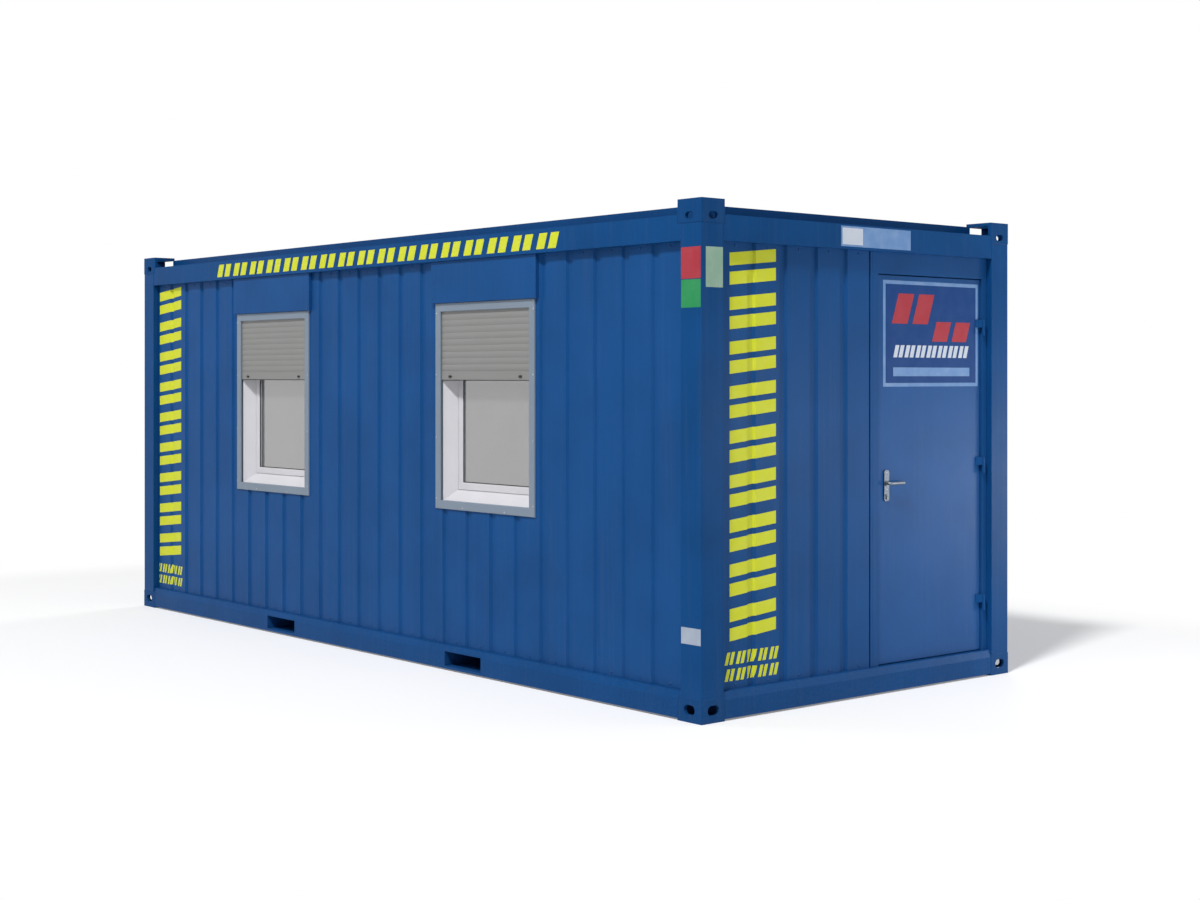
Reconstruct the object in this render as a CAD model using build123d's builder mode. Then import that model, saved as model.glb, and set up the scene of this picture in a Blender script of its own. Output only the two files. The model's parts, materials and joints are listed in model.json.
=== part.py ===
"""Portable site cabin: welded steel frame, ribbed sandwich wall panels, two shuttered windows, one door.

Row frame: X runs along the cabin, towards the door end. Y runs across it, with the window wall at -Y.
Z points up from the underside of the corner castings. All sizes are in millimetres.
"""
from build123d import *
import os
from math import atan2, copysign, degrees

# ---- Overall envelope ---------------------------------------------------------------------------
LENGTH = 6055.0
WIDTH = 2435.0
HEIGHT = 2591.0
SHEET = 4.0                       # folded steel of the frame sections
FRAME_SETBACK = 2.0               # posts and rails lie just behind the faces of the castings
BOARD_JOINT = 2.0                 # open joint between neighbouring sheets or boards

# ---- Corner castings ----------------------------------------------------------------------------
CASTING_X = 178.0
CASTING_Y = 162.0
CASTING_Z = 118.0
CASTING_WALL = 20.0               # walls that face outwards
CASTING_BACK = 12.0               # walls towards the cabin, left out of the top castings
LIFT_SLOT = (124.0, 63.5)         # slot in the top or bottom face
SIDE_SLOT = (79.0, 50.0)          # slots in the two upright faces of a bottom casting
SIDE_SLOT_RISE = 62.0             # height of their middle above the underside
TOP_SIDE_SLOT = (62.0, 38.0)      # the same slots in a top casting
TOP_SIDE_SLOT_DROP = 84.0         # depth of their middle below the top

# ---- Frame --------------------------------------------------------------------------------------
POST = 152.5                      # outer face of a corner post
WALL_SETBACK = 37.5               # wall panel behind the frame's outer plane
WALL_THICKNESS = 60.0
WALL_INNER = WALL_SETBACK + WALL_THICKNESS
RAIL_UNDERSIDE = 10.0             # bottom rail above the castings' underside
RAIL_BEVEL = 105.0                # height where the bottom rail starts to lean back
RAIL_LEAN = 12.0
SILL = 145.0                      # top of the bottom rail, where the wall panels stand
RAIL_LIP = 60.0                   # inward lip under the bottom rail
HEAD = 2385.0                     # lower edge of the top rail
EAVES = 2515.0                    # upper edge of the top rail's face
GUTTER_LIP = 26.0                 # outer lip of the gutter in the top rail
GUTTER_FLOOR = 2491.0
RIM_TOP = 2573.0
RIM_SETBACK = 150.0               # rim behind the gutter, in line with the castings' inner ends
RIM_WIDTH = 28.0
RIM_DROP = 2500.0                 # lower edge of the rim's inner leg
PANEL_TOP = HEIGHT - CASTING_Z     # panels end level with the underside of the top castings

# ---- Fork pockets and floor ---------------------------------------------------------------------
POCKET_WIDTH = 352.0
POCKET_HEIGHT = 85.0
POCKET_FLOOR = 25.0
POCKET_SPACING = 2050.0
UNDERFLOOR_STEEL = 3.0
UNDERFLOOR_TOP = RAIL_UNDERSIDE + SHEET + UNDERFLOOR_STEEL
BEAM_WIDTH = 40.0
BEAM_FOOT = 25.0
BEAM_STEEL = 3.0
BEAM_PLACES = (0.0, 425.0, 1300.0, 1730.0, 2160.0, 2590.0)
FLOOR_BOTTOM = 128.0
FLOOR_TOP = 150.0

# ---- Roof and ceiling ---------------------------------------------------------------------------
ROOF_RISE = 25.0
ROOF_STEEL = 3.0
ROOF_EDGE = RIM_SETBACK + RIM_WIDTH
SEAM_HEIGHT = 24.0
SEAM_WIDTH = 10.0                 # folded head of a seam
SEAM_FOLD = 9.0
SEAM_WEB = 3.0
SEAM_COUNT = 9
CEILING_THICKNESS = 10.0

# ---- Wall panels --------------------------------------------------------------------------------
PANEL_WIDTH = 1150.0
RIB_PITCH = 230.0
GROOVE_WIDTH = 60.0
GROOVE_BOTTOM = 36.0
GROOVE_DEPTH = 12.0

# ---- Windows ------------------------------------------------------------------------------------
WINDOW_OFFSET = 1190.0            # window centre from the middle of the wall
WINDOW_WIDTH = 945.0
WINDOW_HEIGHT = 1205.0
WINDOW_FOOT = 935.0
TRIM_FACE = 50.0
TRIM_LAP = 20.0                   # trim laid over the wall panel
TRIM_PROUD = 10.0
PVC_SETBACK = 50.0                # outer face of the window frame
PVC_DEPTH = 82.0
REVEAL_SPLAY = 60.0               # how far the frame's sloping reveal closes in
REVEAL_DEPTH = 65.0
SASH_SETBACK = 115.0
SASH_DEPTH = 35.0
SASH_FACE = 42.0
SASH_GAP = 3.0
SASH_LAP = 18.0
GLASS_THICKNESS = 24.0
GLASS_SETBACK = 122.0
GLASS_BITE = 10.0
SHUTTER_SETBACK = 39.5
SHUTTER_FOOT = 1691.0
SLAT_PITCH = 37.0
SLAT_THICKNESS = 8.0
SLAT_BOW = 2.4                    # bulge of a slat's front
SLAT_GAP = 0.5                    # free play between hooked slats
TONGUE_WIDTH = 1.2
TONGUE_HEIGHT = 5.0
HOOK_WIDTH = 2.2
END_SLAT_HEIGHT = 52.0
GUIDE_DEPTH = 20.0
BOX_TOP = 2340.0
BOX_DEPTH = 170.0
BOX_WALL = 8.0
HEAD_COVER_WIDTH = 1000.0
HEAD_COVER_PROUD = 22.0           # head cover in front of the ribs
HEAD_COVER_STEEL = 2.0

# ---- Door ---------------------------------------------------------------------------------------
DOOR_ELEMENT = (85.0, 1065.0)     # span of the door element along the end wall
LEAF_LOCK_EDGE = 137.0
LEAF_HINGE_EDGE = 1015.0
LEAF_FOOT = 150.0
LEAF_TOP = 2262.0
LEAF_SETBACK = 47.5
LEAF_THICKNESS = 40.0
LEAF_REBATE = 22.0                # step round the inner half of the leaf
FRAME_TOP = 2318.0
DOOR_GAP = 5.0
LOCK_GAP = 6.0
STOP_GAP = 5.0
HINGE_X = 3003.0
HINGE_Y = 1017.5
HINGE_HEIGHTS = (420.0, 1205.0, 1990.0)
KNUCKLE_RADIUS = 9.0
KNUCKLE_HEIGHT = 45.0
PIN_RADIUS = 5.0
RUNNING_GAP = 0.08
HINGE_PLATE = 4.0
HINGE_PLATE_WIDTH = 38.0
HANDLE_Y = 202.0
HANDLE_Z = 1130.0
CYLINDER_DROP = 66.0
PLATE_SIZE = (40.0, 168.0)
PLATE_DROP = 12.0                 # middle of the plate below the lever
PLATE_THICKNESS = 8.0
LEVER_LENGTH = 122.0
LEVER_RADIUS = 9.0
LEVER_REACH = 33.0                # lever axis in front of the leaf
LEVER_BEND = 16.0
LEVER_RETURN = 12.0               # gap left between the lever's turned end and the leaf
COLLAR_RADIUS = 13.0
COLLAR_HEIGHT = 5.0
SPINDLE_RADIUS = 5.0
SPINDLE_BORE = 12.0

HALF_LENGTH = LENGTH / 2
HALF_WIDTH = WIDTH / 2
OVERSHOOT = 20.0                  # cutting tools reach this far past the faces they cut


class WallLine:
    """One side of the cabin: s runs along it, depth runs inwards from its outer plane."""

    def __init__(self, outward, half_span):
        self.outward = Vector(*outward)
        self.along = Vector(0, 0, 1).cross(self.outward)
        reach = HALF_LENGTH if outward[0] else HALF_WIDTH
        self.origin = self.outward * reach
        self.half_span = half_span

    def plan(self, height, centre=0.0):
        """Horizontal plane at a place along the wall: x along it, y inwards."""
        origin = self.origin + self.along * centre + Vector(0, 0, height)
        return Plane(origin, x_dir=self.along, z_dir=(0, 0, 1))

    def section(self, start):
        """Upright plane across the wall: x inwards, y up."""
        return Plane(self.origin + self.along * start, x_dir=-self.outward, z_dir=self.along)

    def elevation(self, depth):
        """Upright plane parallel to the wall: x along it, y up, normal outwards."""
        return Plane(self.origin - self.outward * depth, x_dir=self.along, z_dir=self.outward)


WINDOW_WALL = WallLine((0, -1, 0), HALF_LENGTH - POST)
BACK_WALL = WallLine((0, 1, 0), HALF_LENGTH - POST)
DOOR_WALL = WallLine((1, 0, 0), HALF_WIDTH - POST)
REAR_WALL = WallLine((-1, 0, 0), HALF_WIDTH - POST)
WALL_LINES = {"front": WINDOW_WALL, "back": BACK_WALL, "door_end": DOOR_WALL, "rear_end": REAR_WALL}


def finish_piece(builder, name):
    """Label a finished piece and write its file."""
    builder.part.label = name
    export_step(builder.part, f"parts/{name}.step")


def corner_places(inset_x, inset_y, height):
    """Four points set in from the cabin's corners."""
    return [
        (copysign(HALF_LENGTH - inset_x, east), copysign(HALF_WIDTH - inset_y, north), height)
        for east in (-1, 1)
        for north in (-1, 1)
    ]


def cut_casting_space(bottom):
    """Cope the piece being built round the four castings of one level."""
    with Locations(*corner_places(CASTING_X / 2, CASTING_Y / 2, bottom + CASTING_Z / 2)):
        Box(CASTING_X, CASTING_Y, CASTING_Z, mode=Mode.SUBTRACT)


def folded_strip(plane, outline, length, thickness=SHEET):
    """Sheet folded along an outline, with the metal on its right-hand side."""
    with BuildPart() as strip:
        with BuildSketch(plane):
            with BuildLine():
                Polyline(*outline)
                offset(amount=thickness, side=Side.RIGHT)
            make_face()
        extrude(amount=length)
    return strip.part


def castings(level):
    """Four hollow corner castings, slotted on their outward faces. The top ones open to the gutters."""
    if level == "bottom":
        bottom, free_end, inward = 0.0, 0.0, 1
        foot, back = CASTING_WALL, CASTING_BACK
        slot, slot_height = SIDE_SLOT, SIDE_SLOT_RISE
    else:
        bottom, free_end, inward = HEIGHT - CASTING_Z, HEIGHT, -1
        foot, back = CASTING_BACK, -OVERSHOOT
        slot, slot_height = TOP_SIDE_SLOT, HEIGHT - TOP_SIDE_SLOT_DROP
    with BuildPart() as corner:
        with Locations(*corner_places(CASTING_X / 2, CASTING_Y / 2, bottom + CASTING_Z / 2)):
            Box(CASTING_X, CASTING_Y, CASTING_Z)
        upright = corner.edges().filter_by(Axis.Z)
        fillet(upright, 6)
        inset = (CASTING_WALL - back) / 2
        cavity_height = CASTING_Z - CASTING_WALL - CASTING_BACK
        with Locations(*corner_places(
            CASTING_X / 2 + inset, CASTING_Y / 2 + inset, bottom + foot + cavity_height / 2
        )):
            Box(CASTING_X - CASTING_WALL - back, CASTING_Y - CASTING_WALL - back, cavity_height, mode=Mode.SUBTRACT)
        with BuildSketch(Plane.XY.offset(free_end - inward * OVERSHOOT)):
            with Locations(*[(x, y) for x, y, _ in corner_places(CASTING_X / 2, CASTING_Y / 2, 0)]):
                SlotOverall(*LIFT_SLOT)
        extrude(amount=inward * (OVERSHOOT + CASTING_WALL + 1), mode=Mode.SUBTRACT)
        for outward in (-1, 1):
            with BuildSketch(Plane.XZ.offset(-outward * (HALF_WIDTH + OVERSHOOT))):
                with Locations(
                    (HALF_LENGTH - CASTING_X / 2, slot_height), (CASTING_X / 2 - HALF_LENGTH, slot_height)
                ):
                    SlotOverall(*slot)
            extrude(amount=outward * (OVERSHOOT + CASTING_WALL + 1), mode=Mode.SUBTRACT)
            with BuildSketch(Plane.YZ.offset(outward * (HALF_LENGTH + OVERSHOOT))):
                with Locations(
                    (HALF_WIDTH - CASTING_Y / 2, slot_height), (CASTING_Y / 2 - HALF_WIDTH, slot_height)
                ):
                    SlotOverall(*slot)
            extrude(amount=-outward * (OVERSHOOT + CASTING_WALL + 1), mode=Mode.SUBTRACT)
    return corner


def corner_post(east, north):
    """Folded hollow post, L-shaped in plan, with both legs as deep as the walls."""
    face_x = HALF_LENGTH - FRAME_SETBACK
    face_y = HALF_WIDTH - FRAME_SETBACK
    with BuildPart() as post:
        with BuildSketch(Plane.XY.offset(CASTING_Z)):
            with BuildLine():
                Polyline(
                    (face_x, face_y),
                    (HALF_LENGTH - POST, face_y),
                    (HALF_LENGTH - POST, HALF_WIDTH - WALL_INNER),
                    (HALF_LENGTH - WALL_INNER, HALF_WIDTH - WALL_INNER),
                    (HALF_LENGTH - WALL_INNER, HALF_WIDTH - POST),
                    (face_x, HALF_WIDTH - POST),
                    close=True,
                )
            make_face()
            offset(amount=-SHEET, mode=Mode.SUBTRACT)
        extrude(amount=HEIGHT - 2 * CASTING_Z)
        outer_corner = post.edges().filter_by(Axis.Z).sort_by(lambda edge: edge.center().X + edge.center().Y)[-1]
        fillet(outer_corner, 6)
        if east < 0:
            mirror(about=Plane.YZ, mode=Mode.REPLACE)
        if north < 0:
            mirror(about=Plane.XZ, mode=Mode.REPLACE)
    return post


def bottom_rail(wall, with_pockets):
    """Folded bottom rail with a lower lip, a leaning top edge and a shelf for the panels."""
    outline = [
        (RAIL_LIP, RAIL_UNDERSIDE),
        (FRAME_SETBACK, RAIL_UNDERSIDE),
        (FRAME_SETBACK, RAIL_BEVEL),
        (RAIL_LEAN, SILL),
        (WALL_INNER, SILL),
    ]
    strip = folded_strip(wall.section(-wall.half_span), outline, 2 * wall.half_span)
    with BuildPart() as rail:
        add(strip)
        cut_casting_space(0.0)
        if with_pockets:
            with Locations(*[(x, 0, POCKET_FLOOR + POCKET_HEIGHT / 2) for x in pocket_places()]):
                Box(POCKET_WIDTH + 2 * SHEET, 2 * WIDTH, POCKET_HEIGHT + 2 * SHEET, mode=Mode.SUBTRACT)
    return rail


def top_rail(wall):
    """Folded top rail: face with a drip lip, a gutter behind it, and the upstand that carries the roof."""
    outline = [
        (WALL_SETBACK, HEAD),
        (FRAME_SETBACK, HEAD),
        (FRAME_SETBACK, EAVES),
        (GUTTER_LIP, EAVES),
        (GUTTER_LIP, GUTTER_FLOOR),
        (RIM_SETBACK, GUTTER_FLOOR),
        (RIM_SETBACK, RIM_TOP),
        (ROOF_EDGE, RIM_TOP),
        (ROOF_EDGE, RIM_DROP),
    ]
    strip = folded_strip(wall.section(-wall.half_span), outline, 2 * wall.half_span)
    is_long = abs(wall.outward.Y) > abs(wall.outward.X)
    reach = ROOF_EDGE if is_long else CASTING_Y
    with BuildPart() as rail:
        add(strip)
        with Locations(*corner_places(CASTING_X / 2, reach / 2, HEIGHT - CASTING_Z / 2)):
            Box(CASTING_X, reach, CASTING_Z, mode=Mode.SUBTRACT)
    return rail


def pocket_places():
    """Centres of the two fork pockets along the cabin."""
    return (-POCKET_SPACING / 2, POCKET_SPACING / 2)


def fork_pockets():
    """Two welded channels from one bottom rail to the other, open at both ends."""
    with BuildPart() as pockets:
        with BuildSketch(Plane.XZ.offset(FRAME_SETBACK - HALF_WIDTH)):
            with Locations(*[(x, POCKET_FLOOR + POCKET_HEIGHT / 2) for x in pocket_places()]):
                Rectangle(POCKET_WIDTH + 2 * SHEET, POCKET_HEIGHT + 2 * SHEET)
                Rectangle(POCKET_WIDTH, POCKET_HEIGHT, mode=Mode.SUBTRACT)
        extrude(amount=WIDTH - 2 * FRAME_SETBACK)
    return pockets


def floor_crossbeams():
    """Top-hat beams across the floor frame, clear of the fork pockets."""
    half_beam = BEAM_WIDTH / 2
    crown = FLOOR_BOTTOM - BEAM_STEEL
    outline = [
        (-half_beam - BEAM_FOOT, UNDERFLOOR_TOP),
        (-half_beam, UNDERFLOOR_TOP),
        (-half_beam, crown),
        (half_beam, crown),
        (half_beam, UNDERFLOOR_TOP),
        (half_beam + BEAM_FOOT, UNDERFLOOR_TOP),
    ]
    half_beam_length = HALF_WIDTH - WALL_INNER
    with BuildPart() as beams:
        for place in sorted({copysign(x, side) for x in BEAM_PLACES for side in (-1, 1)}):
            across = Plane((place, half_beam_length, 0), x_dir=(1, 0, 0), z_dir=(0, -1, 0))
            with BuildSketch(across):
                with BuildLine():
                    Polyline(*outline)
                    offset(amount=BEAM_STEEL, side=Side.LEFT)
                make_face()
            extrude(amount=2 * half_beam_length)
    return beams


def boards(bottom, thickness, inset):
    """Flat boards over the plan of the cabin: one between the castings and a narrow one at each end."""
    strip_width = CASTING_X - inset - BOARD_JOINT
    strip_place = HALF_LENGTH - inset - strip_width / 2
    with BuildPart() as board:
        with BuildSketch(Plane.XY.offset(bottom)):
            Rectangle(LENGTH - 2 * CASTING_X, WIDTH - 2 * inset)
            with Locations((-strip_place, 0), (strip_place, 0)):
                Rectangle(strip_width, WIDTH - 2 * CASTING_Y)
        extrude(amount=thickness)
    return board


def floor_board():
    """Floor board and covering, level inside the walls."""
    with BuildPart() as board:
        with BuildSketch(Plane.XY.offset(FLOOR_BOTTOM)):
            Rectangle(LENGTH - 2 * WALL_INNER, WIDTH - 2 * WALL_INNER)
        extrude(amount=FLOOR_TOP - FLOOR_BOTTOM)
    return board


def roof_sheet():
    """Galvanised roof between the rims, with a shallow fall to both long sides and double-folded seams."""
    half_width = HALF_WIDTH - ROOF_EDGE
    length = LENGTH - 2 * ROOF_EDGE
    foot = RIM_DROP + ROOF_RISE + ROOF_STEEL
    with BuildPart() as roof:
        with BuildSketch(Plane.YZ.offset(-length / 2)):
            with BuildLine():
                Polyline(
                    (-half_width, RIM_DROP),
                    (0, RIM_DROP + ROOF_RISE),
                    (half_width, RIM_DROP),
                    (half_width, RIM_DROP + ROOF_STEEL),
                    (0, foot),
                    (-half_width, RIM_DROP + ROOF_STEEL),
                    close=True,
                )
            make_face()
        extrude(amount=length)
        for side in (-1, 1):
            with BuildSketch(Plane.XZ):
                with Locations(*[(place, foot + SEAM_HEIGHT / 2 - 1) for place in seam_places()]):
                    Rectangle(SEAM_WEB, SEAM_HEIGHT + 2)
                with Locations(*[(place, foot + SEAM_HEIGHT - SEAM_FOLD / 2) for place in seam_places()]):
                    RectangleRounded(SEAM_WIDTH, SEAM_FOLD, SEAM_WEB / 2)
            slope = Vector(0, side * half_width, -ROOF_RISE)
            extrude(amount=slope.length, dir=slope)
    return roof


def seam_places():
    """Seam positions along the roof."""
    pitch = (LENGTH - 2 * ROOF_EDGE) / (SEAM_COUNT + 1)
    return [(index - (SEAM_COUNT - 1) / 2) * pitch for index in range(SEAM_COUNT)]


def wall_panel(wall, centre, width, bottom=SILL):
    """Sandwich panel whose outer sheet is pressed into upright ribs and grooves."""
    left = -width / 2
    face = WALL_SETBACK
    root = WALL_SETBACK + GROOVE_DEPTH
    grooves = int(width // RIB_PITCH)
    outline = [(left, WALL_INNER), (left, root), (left + GROOVE_BOTTOM / 2, root), (left + GROOVE_WIDTH / 2, face)]
    for index in range(1, grooves):
        middle = left + index * RIB_PITCH
        outline += [
            (middle - GROOVE_WIDTH / 2, face),
            (middle - GROOVE_BOTTOM / 2, root),
            (middle + GROOVE_BOTTOM / 2, root),
            (middle + GROOVE_WIDTH / 2, face),
        ]
    outline += [
        (-left - GROOVE_WIDTH / 2, face),
        (-left - GROOVE_BOTTOM / 2, root),
        (-left, root),
        (-left, WALL_INNER),
    ]
    with BuildPart() as panel:
        with BuildSketch(wall.plan(bottom, centre)):
            with BuildLine():
                Polyline(*outline, close=True)
            make_face()
        extrude(amount=PANEL_TOP - bottom)
    return panel


def window_panel(wall, centre, window_centre):
    """Wall panel cut out for a window and the shutter box above it."""
    base = wall_panel(wall, centre, PANEL_WIDTH).part
    foot = WINDOW_FOOT + TRIM_LAP
    with BuildPart() as panel:
        add(base)
        with BuildSketch(wall.elevation(WALL_SETBACK - OVERSHOOT)):
            with Locations((window_centre, (foot + BOX_TOP) / 2)):
                Rectangle(WINDOW_WIDTH - 2 * TRIM_LAP, BOX_TOP - foot)
        extrude(amount=-(WALL_THICKNESS + 2 * OVERSHOOT), mode=Mode.SUBTRACT)
    return panel


def upright_ring(plane, centre, outer, inner, depth):
    """Rectangular ring on an upright plane, reaching inwards."""
    with BuildPart() as ring:
        with BuildSketch(plane):
            with Locations(centre):
                Rectangle(*outer)
                Rectangle(*inner, mode=Mode.SUBTRACT)
        extrude(amount=-depth)
    return ring.part


def inset_size(size, margin):
    """Width and height less a margin on every side."""
    return (size[0] - 2 * margin, size[1] - 2 * margin)


class ShutteredWindow:
    """One window with its trim, frame, sash, glass, roller shutter, box and head cover."""

    def __init__(self, wall, along):
        self.wall = wall
        self.along = along
        self.centre = (along, WINDOW_FOOT + WINDOW_HEIGHT / 2)
        self.outer = (WINDOW_WIDTH, WINDOW_HEIGHT)
        self.cutout = inset_size(self.outer, TRIM_LAP)
        self.daylight = inset_size(self.outer, TRIM_FACE)
        self.frame_opening = inset_size(self.daylight, REVEAL_SPLAY)
        self.sash_outer = inset_size(self.frame_opening, SASH_GAP)
        self.sash_opening = inset_size(self.sash_outer, SASH_FACE)

    def trim(self):
        """Outer trim with shutter guides in its sides and a slot through its head."""
        front = WALL_SETBACK - TRIM_PROUD
        cover = upright_ring(self.wall.elevation(front), self.centre, self.outer, self.daylight, TRIM_PROUD)
        liner = upright_ring(
            self.wall.elevation(WALL_SETBACK), self.centre, self.cutout, self.daylight, PVC_SETBACK - WALL_SETBACK
        )
        guide_foot = WINDOW_FOOT + TRIM_FACE
        slot_depth = SLAT_THICKNESS + 4
        with BuildPart() as trim:
            add(cover)
            add(liner)
            face_edges = trim.faces().sort_by(Axis((0, 0, 0), tuple(self.wall.outward)))[-1].edges()
            chamfer(face_edges, 3)
            with BuildSketch(self.wall.elevation(SHUTTER_SETBACK - 2)):
                with Locations((self.along, (guide_foot + WINDOW_FOOT + WINDOW_HEIGHT) / 2 + OVERSHOOT / 2)):
                    Rectangle(
                        self.daylight[0] + 2 * GUIDE_DEPTH, WINDOW_FOOT + WINDOW_HEIGHT - guide_foot + OVERSHOOT
                    )
            extrude(amount=-slot_depth, mode=Mode.SUBTRACT)
        return trim

    def frame(self):
        """Fixed frame of the window, with a broad reveal that slopes in towards the sash."""
        ring = upright_ring(
            self.wall.elevation(PVC_SETBACK), self.centre, self.cutout, self.frame_opening, PVC_DEPTH
        )
        splay_angle = degrees(atan2(REVEAL_SPLAY, REVEAL_DEPTH))
        with BuildPart() as frame:
            add(ring)
            with BuildSketch(self.wall.elevation(PVC_SETBACK)):
                with Locations(self.centre):
                    Rectangle(*self.daylight)
            extrude(amount=-REVEAL_DEPTH, taper=splay_angle, mode=Mode.SUBTRACT)
        return frame

    def sash(self):
        """Opening sash: lapped over the frame inside, grooved for the glass."""
        body = upright_ring(
            self.wall.elevation(SASH_SETBACK), self.centre, self.sash_outer, self.sash_opening, SASH_DEPTH
        )
        lap = upright_ring(
            self.wall.elevation(PVC_SETBACK + PVC_DEPTH),
            self.centre,
            inset_size(self.sash_outer, -SASH_LAP),
            self.sash_opening,
            SASH_LAP,
        )
        with BuildPart() as sash:
            add(body)
            add(lap)
            outer_face = sash.faces().sort_by(Axis((0, 0, 0), tuple(self.wall.outward)))[-1]
            chamfer(outer_face.inner_wires()[0].edges(), 5)
            with BuildSketch(self.wall.elevation(GLASS_SETBACK)):
                with Locations(self.centre):
                    Rectangle(*inset_size(self.sash_opening, -GLASS_BITE))
            extrude(amount=-GLASS_THICKNESS, mode=Mode.SUBTRACT)
        return sash

    def glass(self):
        """Sealed double glazing unit."""
        with BuildPart() as glass:
            with BuildSketch(self.wall.elevation(GLASS_SETBACK)):
                with Locations(self.centre):
                    Rectangle(*inset_size(self.sash_opening, -GLASS_BITE))
            extrude(amount=-GLASS_THICKNESS)
        return glass

    def slat(self):
        """Section of one slat: bowed front, hooked tongue on top and a pocket below for the next tongue."""
        front = SHUTTER_SETBACK
        back = front + SLAT_THICKNESS
        shoulder = front + SLAT_BOW
        middle = SLAT_PITCH / 2
        gap = SLAT_GAP / 2
        tongue = shoulder + SLAT_BOW
        with BuildSketch() as section:
            with BuildLine():
                ThreePointArc((shoulder, gap), (front, middle), (shoulder, SLAT_PITCH - gap))
                Polyline((shoulder, SLAT_PITCH - gap), (back, SLAT_PITCH - gap), (back, gap), (shoulder, gap))
            make_face()
            with BuildLine():
                Polyline(
                    (tongue, SLAT_PITCH - 2),
                    (tongue, SLAT_PITCH + TONGUE_HEIGHT),
                    (tongue + HOOK_WIDTH, SLAT_PITCH + TONGUE_HEIGHT),
                    (tongue + HOOK_WIDTH, SLAT_PITCH + TONGUE_HEIGHT - 1),
                    (tongue + TONGUE_WIDTH, SLAT_PITCH + TONGUE_HEIGHT - 1),
                    (tongue + TONGUE_WIDTH, SLAT_PITCH - 2),
                    close=True,
                )
            make_face()
            with BuildLine():
                Polyline(
                    (tongue - SLAT_GAP, 0),
                    (tongue - SLAT_GAP, TONGUE_HEIGHT + SLAT_GAP),
                    (tongue + HOOK_WIDTH + SLAT_GAP, TONGUE_HEIGHT + SLAT_GAP),
                    (tongue + HOOK_WIDTH + SLAT_GAP, TONGUE_HEIGHT - 1 - SLAT_GAP),
                    (tongue + TONGUE_WIDTH + SLAT_GAP, TONGUE_HEIGHT - 1 - SLAT_GAP),
                    (tongue + TONGUE_WIDTH + SLAT_GAP, 0),
                    close=True,
                )
            make_face(mode=Mode.SUBTRACT)
        return section.sketch

    def shutter(self):
        """Half-lowered curtain of slats that hook into each other, over a deeper end slat."""
        top = WINDOW_FOOT + WINDOW_HEIGHT + SLAT_PITCH / 2
        first = SHUTTER_FOOT + END_SLAT_HEIGHT
        count = int((top - first) // SLAT_PITCH)
        half_curtain = self.daylight[0] / 2 + GUIDE_DEPTH - 2
        slat = self.slat()
        tongue = SHUTTER_SETBACK + 2 * SLAT_BOW
        with BuildPart() as curtain:
            with BuildSketch(self.wall.section(self.along - half_curtain)):
                with Locations(*[(0, first + index * SLAT_PITCH) for index in range(count)]):
                    add(slat)
                with Locations((SHUTTER_SETBACK + SLAT_THICKNESS / 2, SHUTTER_FOOT + END_SLAT_HEIGHT / 2)):
                    RectangleRounded(SLAT_THICKNESS, END_SLAT_HEIGHT - SLAT_GAP, SLAT_GAP)
                with Locations((tongue + TONGUE_WIDTH / 2, first + TONGUE_HEIGHT / 2 - 1)):
                    Rectangle(TONGUE_WIDTH, TONGUE_HEIGHT + 2)
                with Locations((tongue + HOOK_WIDTH / 2, first + TONGUE_HEIGHT - 0.5)):
                    Rectangle(HOOK_WIDTH, 1)
            extrude(amount=2 * half_curtain)
        return curtain

    def box(self):
        """Shutter box over the window, behind the head cover."""
        foot = WINDOW_FOOT + WINDOW_HEIGHT - TRIM_LAP
        size = (self.cutout[0], BOX_TOP - foot)
        centre = (self.along, (foot + BOX_TOP) / 2)
        with BuildPart() as box:
            with BuildSketch(self.wall.elevation(WALL_SETBACK)):
                with Locations(centre):
                    Rectangle(*size)
            extrude(amount=-BOX_DEPTH)
            with BuildSketch(self.wall.elevation(WALL_SETBACK + BOX_WALL)):
                with Locations(centre):
                    Rectangle(*inset_size(size, BOX_WALL))
            extrude(amount=-(BOX_DEPTH - 2 * BOX_WALL), mode=Mode.SUBTRACT)
            with BuildSketch(self.wall.elevation(WALL_SETBACK)):
                with Locations((self.along, foot)):
                    Rectangle(self.daylight[0] + 2 * GUIDE_DEPTH, 2 * (TRIM_LAP + SLAT_PITCH))
            extrude(amount=-(SHUTTER_SETBACK - WALL_SETBACK + SLAT_THICKNESS + 2), mode=Mode.SUBTRACT)
        return box

    def head_cover(self):
        """Smooth folded cover from the window up to the top rail, with its edges turned back to the wall."""
        foot = WINDOW_FOOT + WINDOW_HEIGHT
        size = (HEAD_COVER_WIDTH, HEAD - foot)
        centre = (self.along, (foot + HEAD) / 2)
        with BuildPart() as cover:
            with BuildSketch(self.wall.elevation(WALL_SETBACK - HEAD_COVER_PROUD)):
                with Locations(centre):
                    Rectangle(*size)
            extrude(amount=-HEAD_COVER_PROUD)
            chamfer(cover.faces().sort_by(Axis((0, 0, 0), tuple(self.wall.outward)))[-1].edges(), 1.5)
            with BuildSketch(self.wall.elevation(WALL_SETBACK - HEAD_COVER_PROUD + HEAD_COVER_STEEL)):
                with Locations(centre):
                    Rectangle(*inset_size(size, HEAD_COVER_STEEL))
            extrude(amount=-HEAD_COVER_PROUD, mode=Mode.SUBTRACT)
        return cover


def door_span(lock_edge, hinge_edge, foot, top):
    """Centre and size of an upright rectangle on the door wall."""
    return (
        ((lock_edge + hinge_edge) / 2, (foot + top) / 2),
        (hinge_edge - lock_edge, top - foot),
    )


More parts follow.
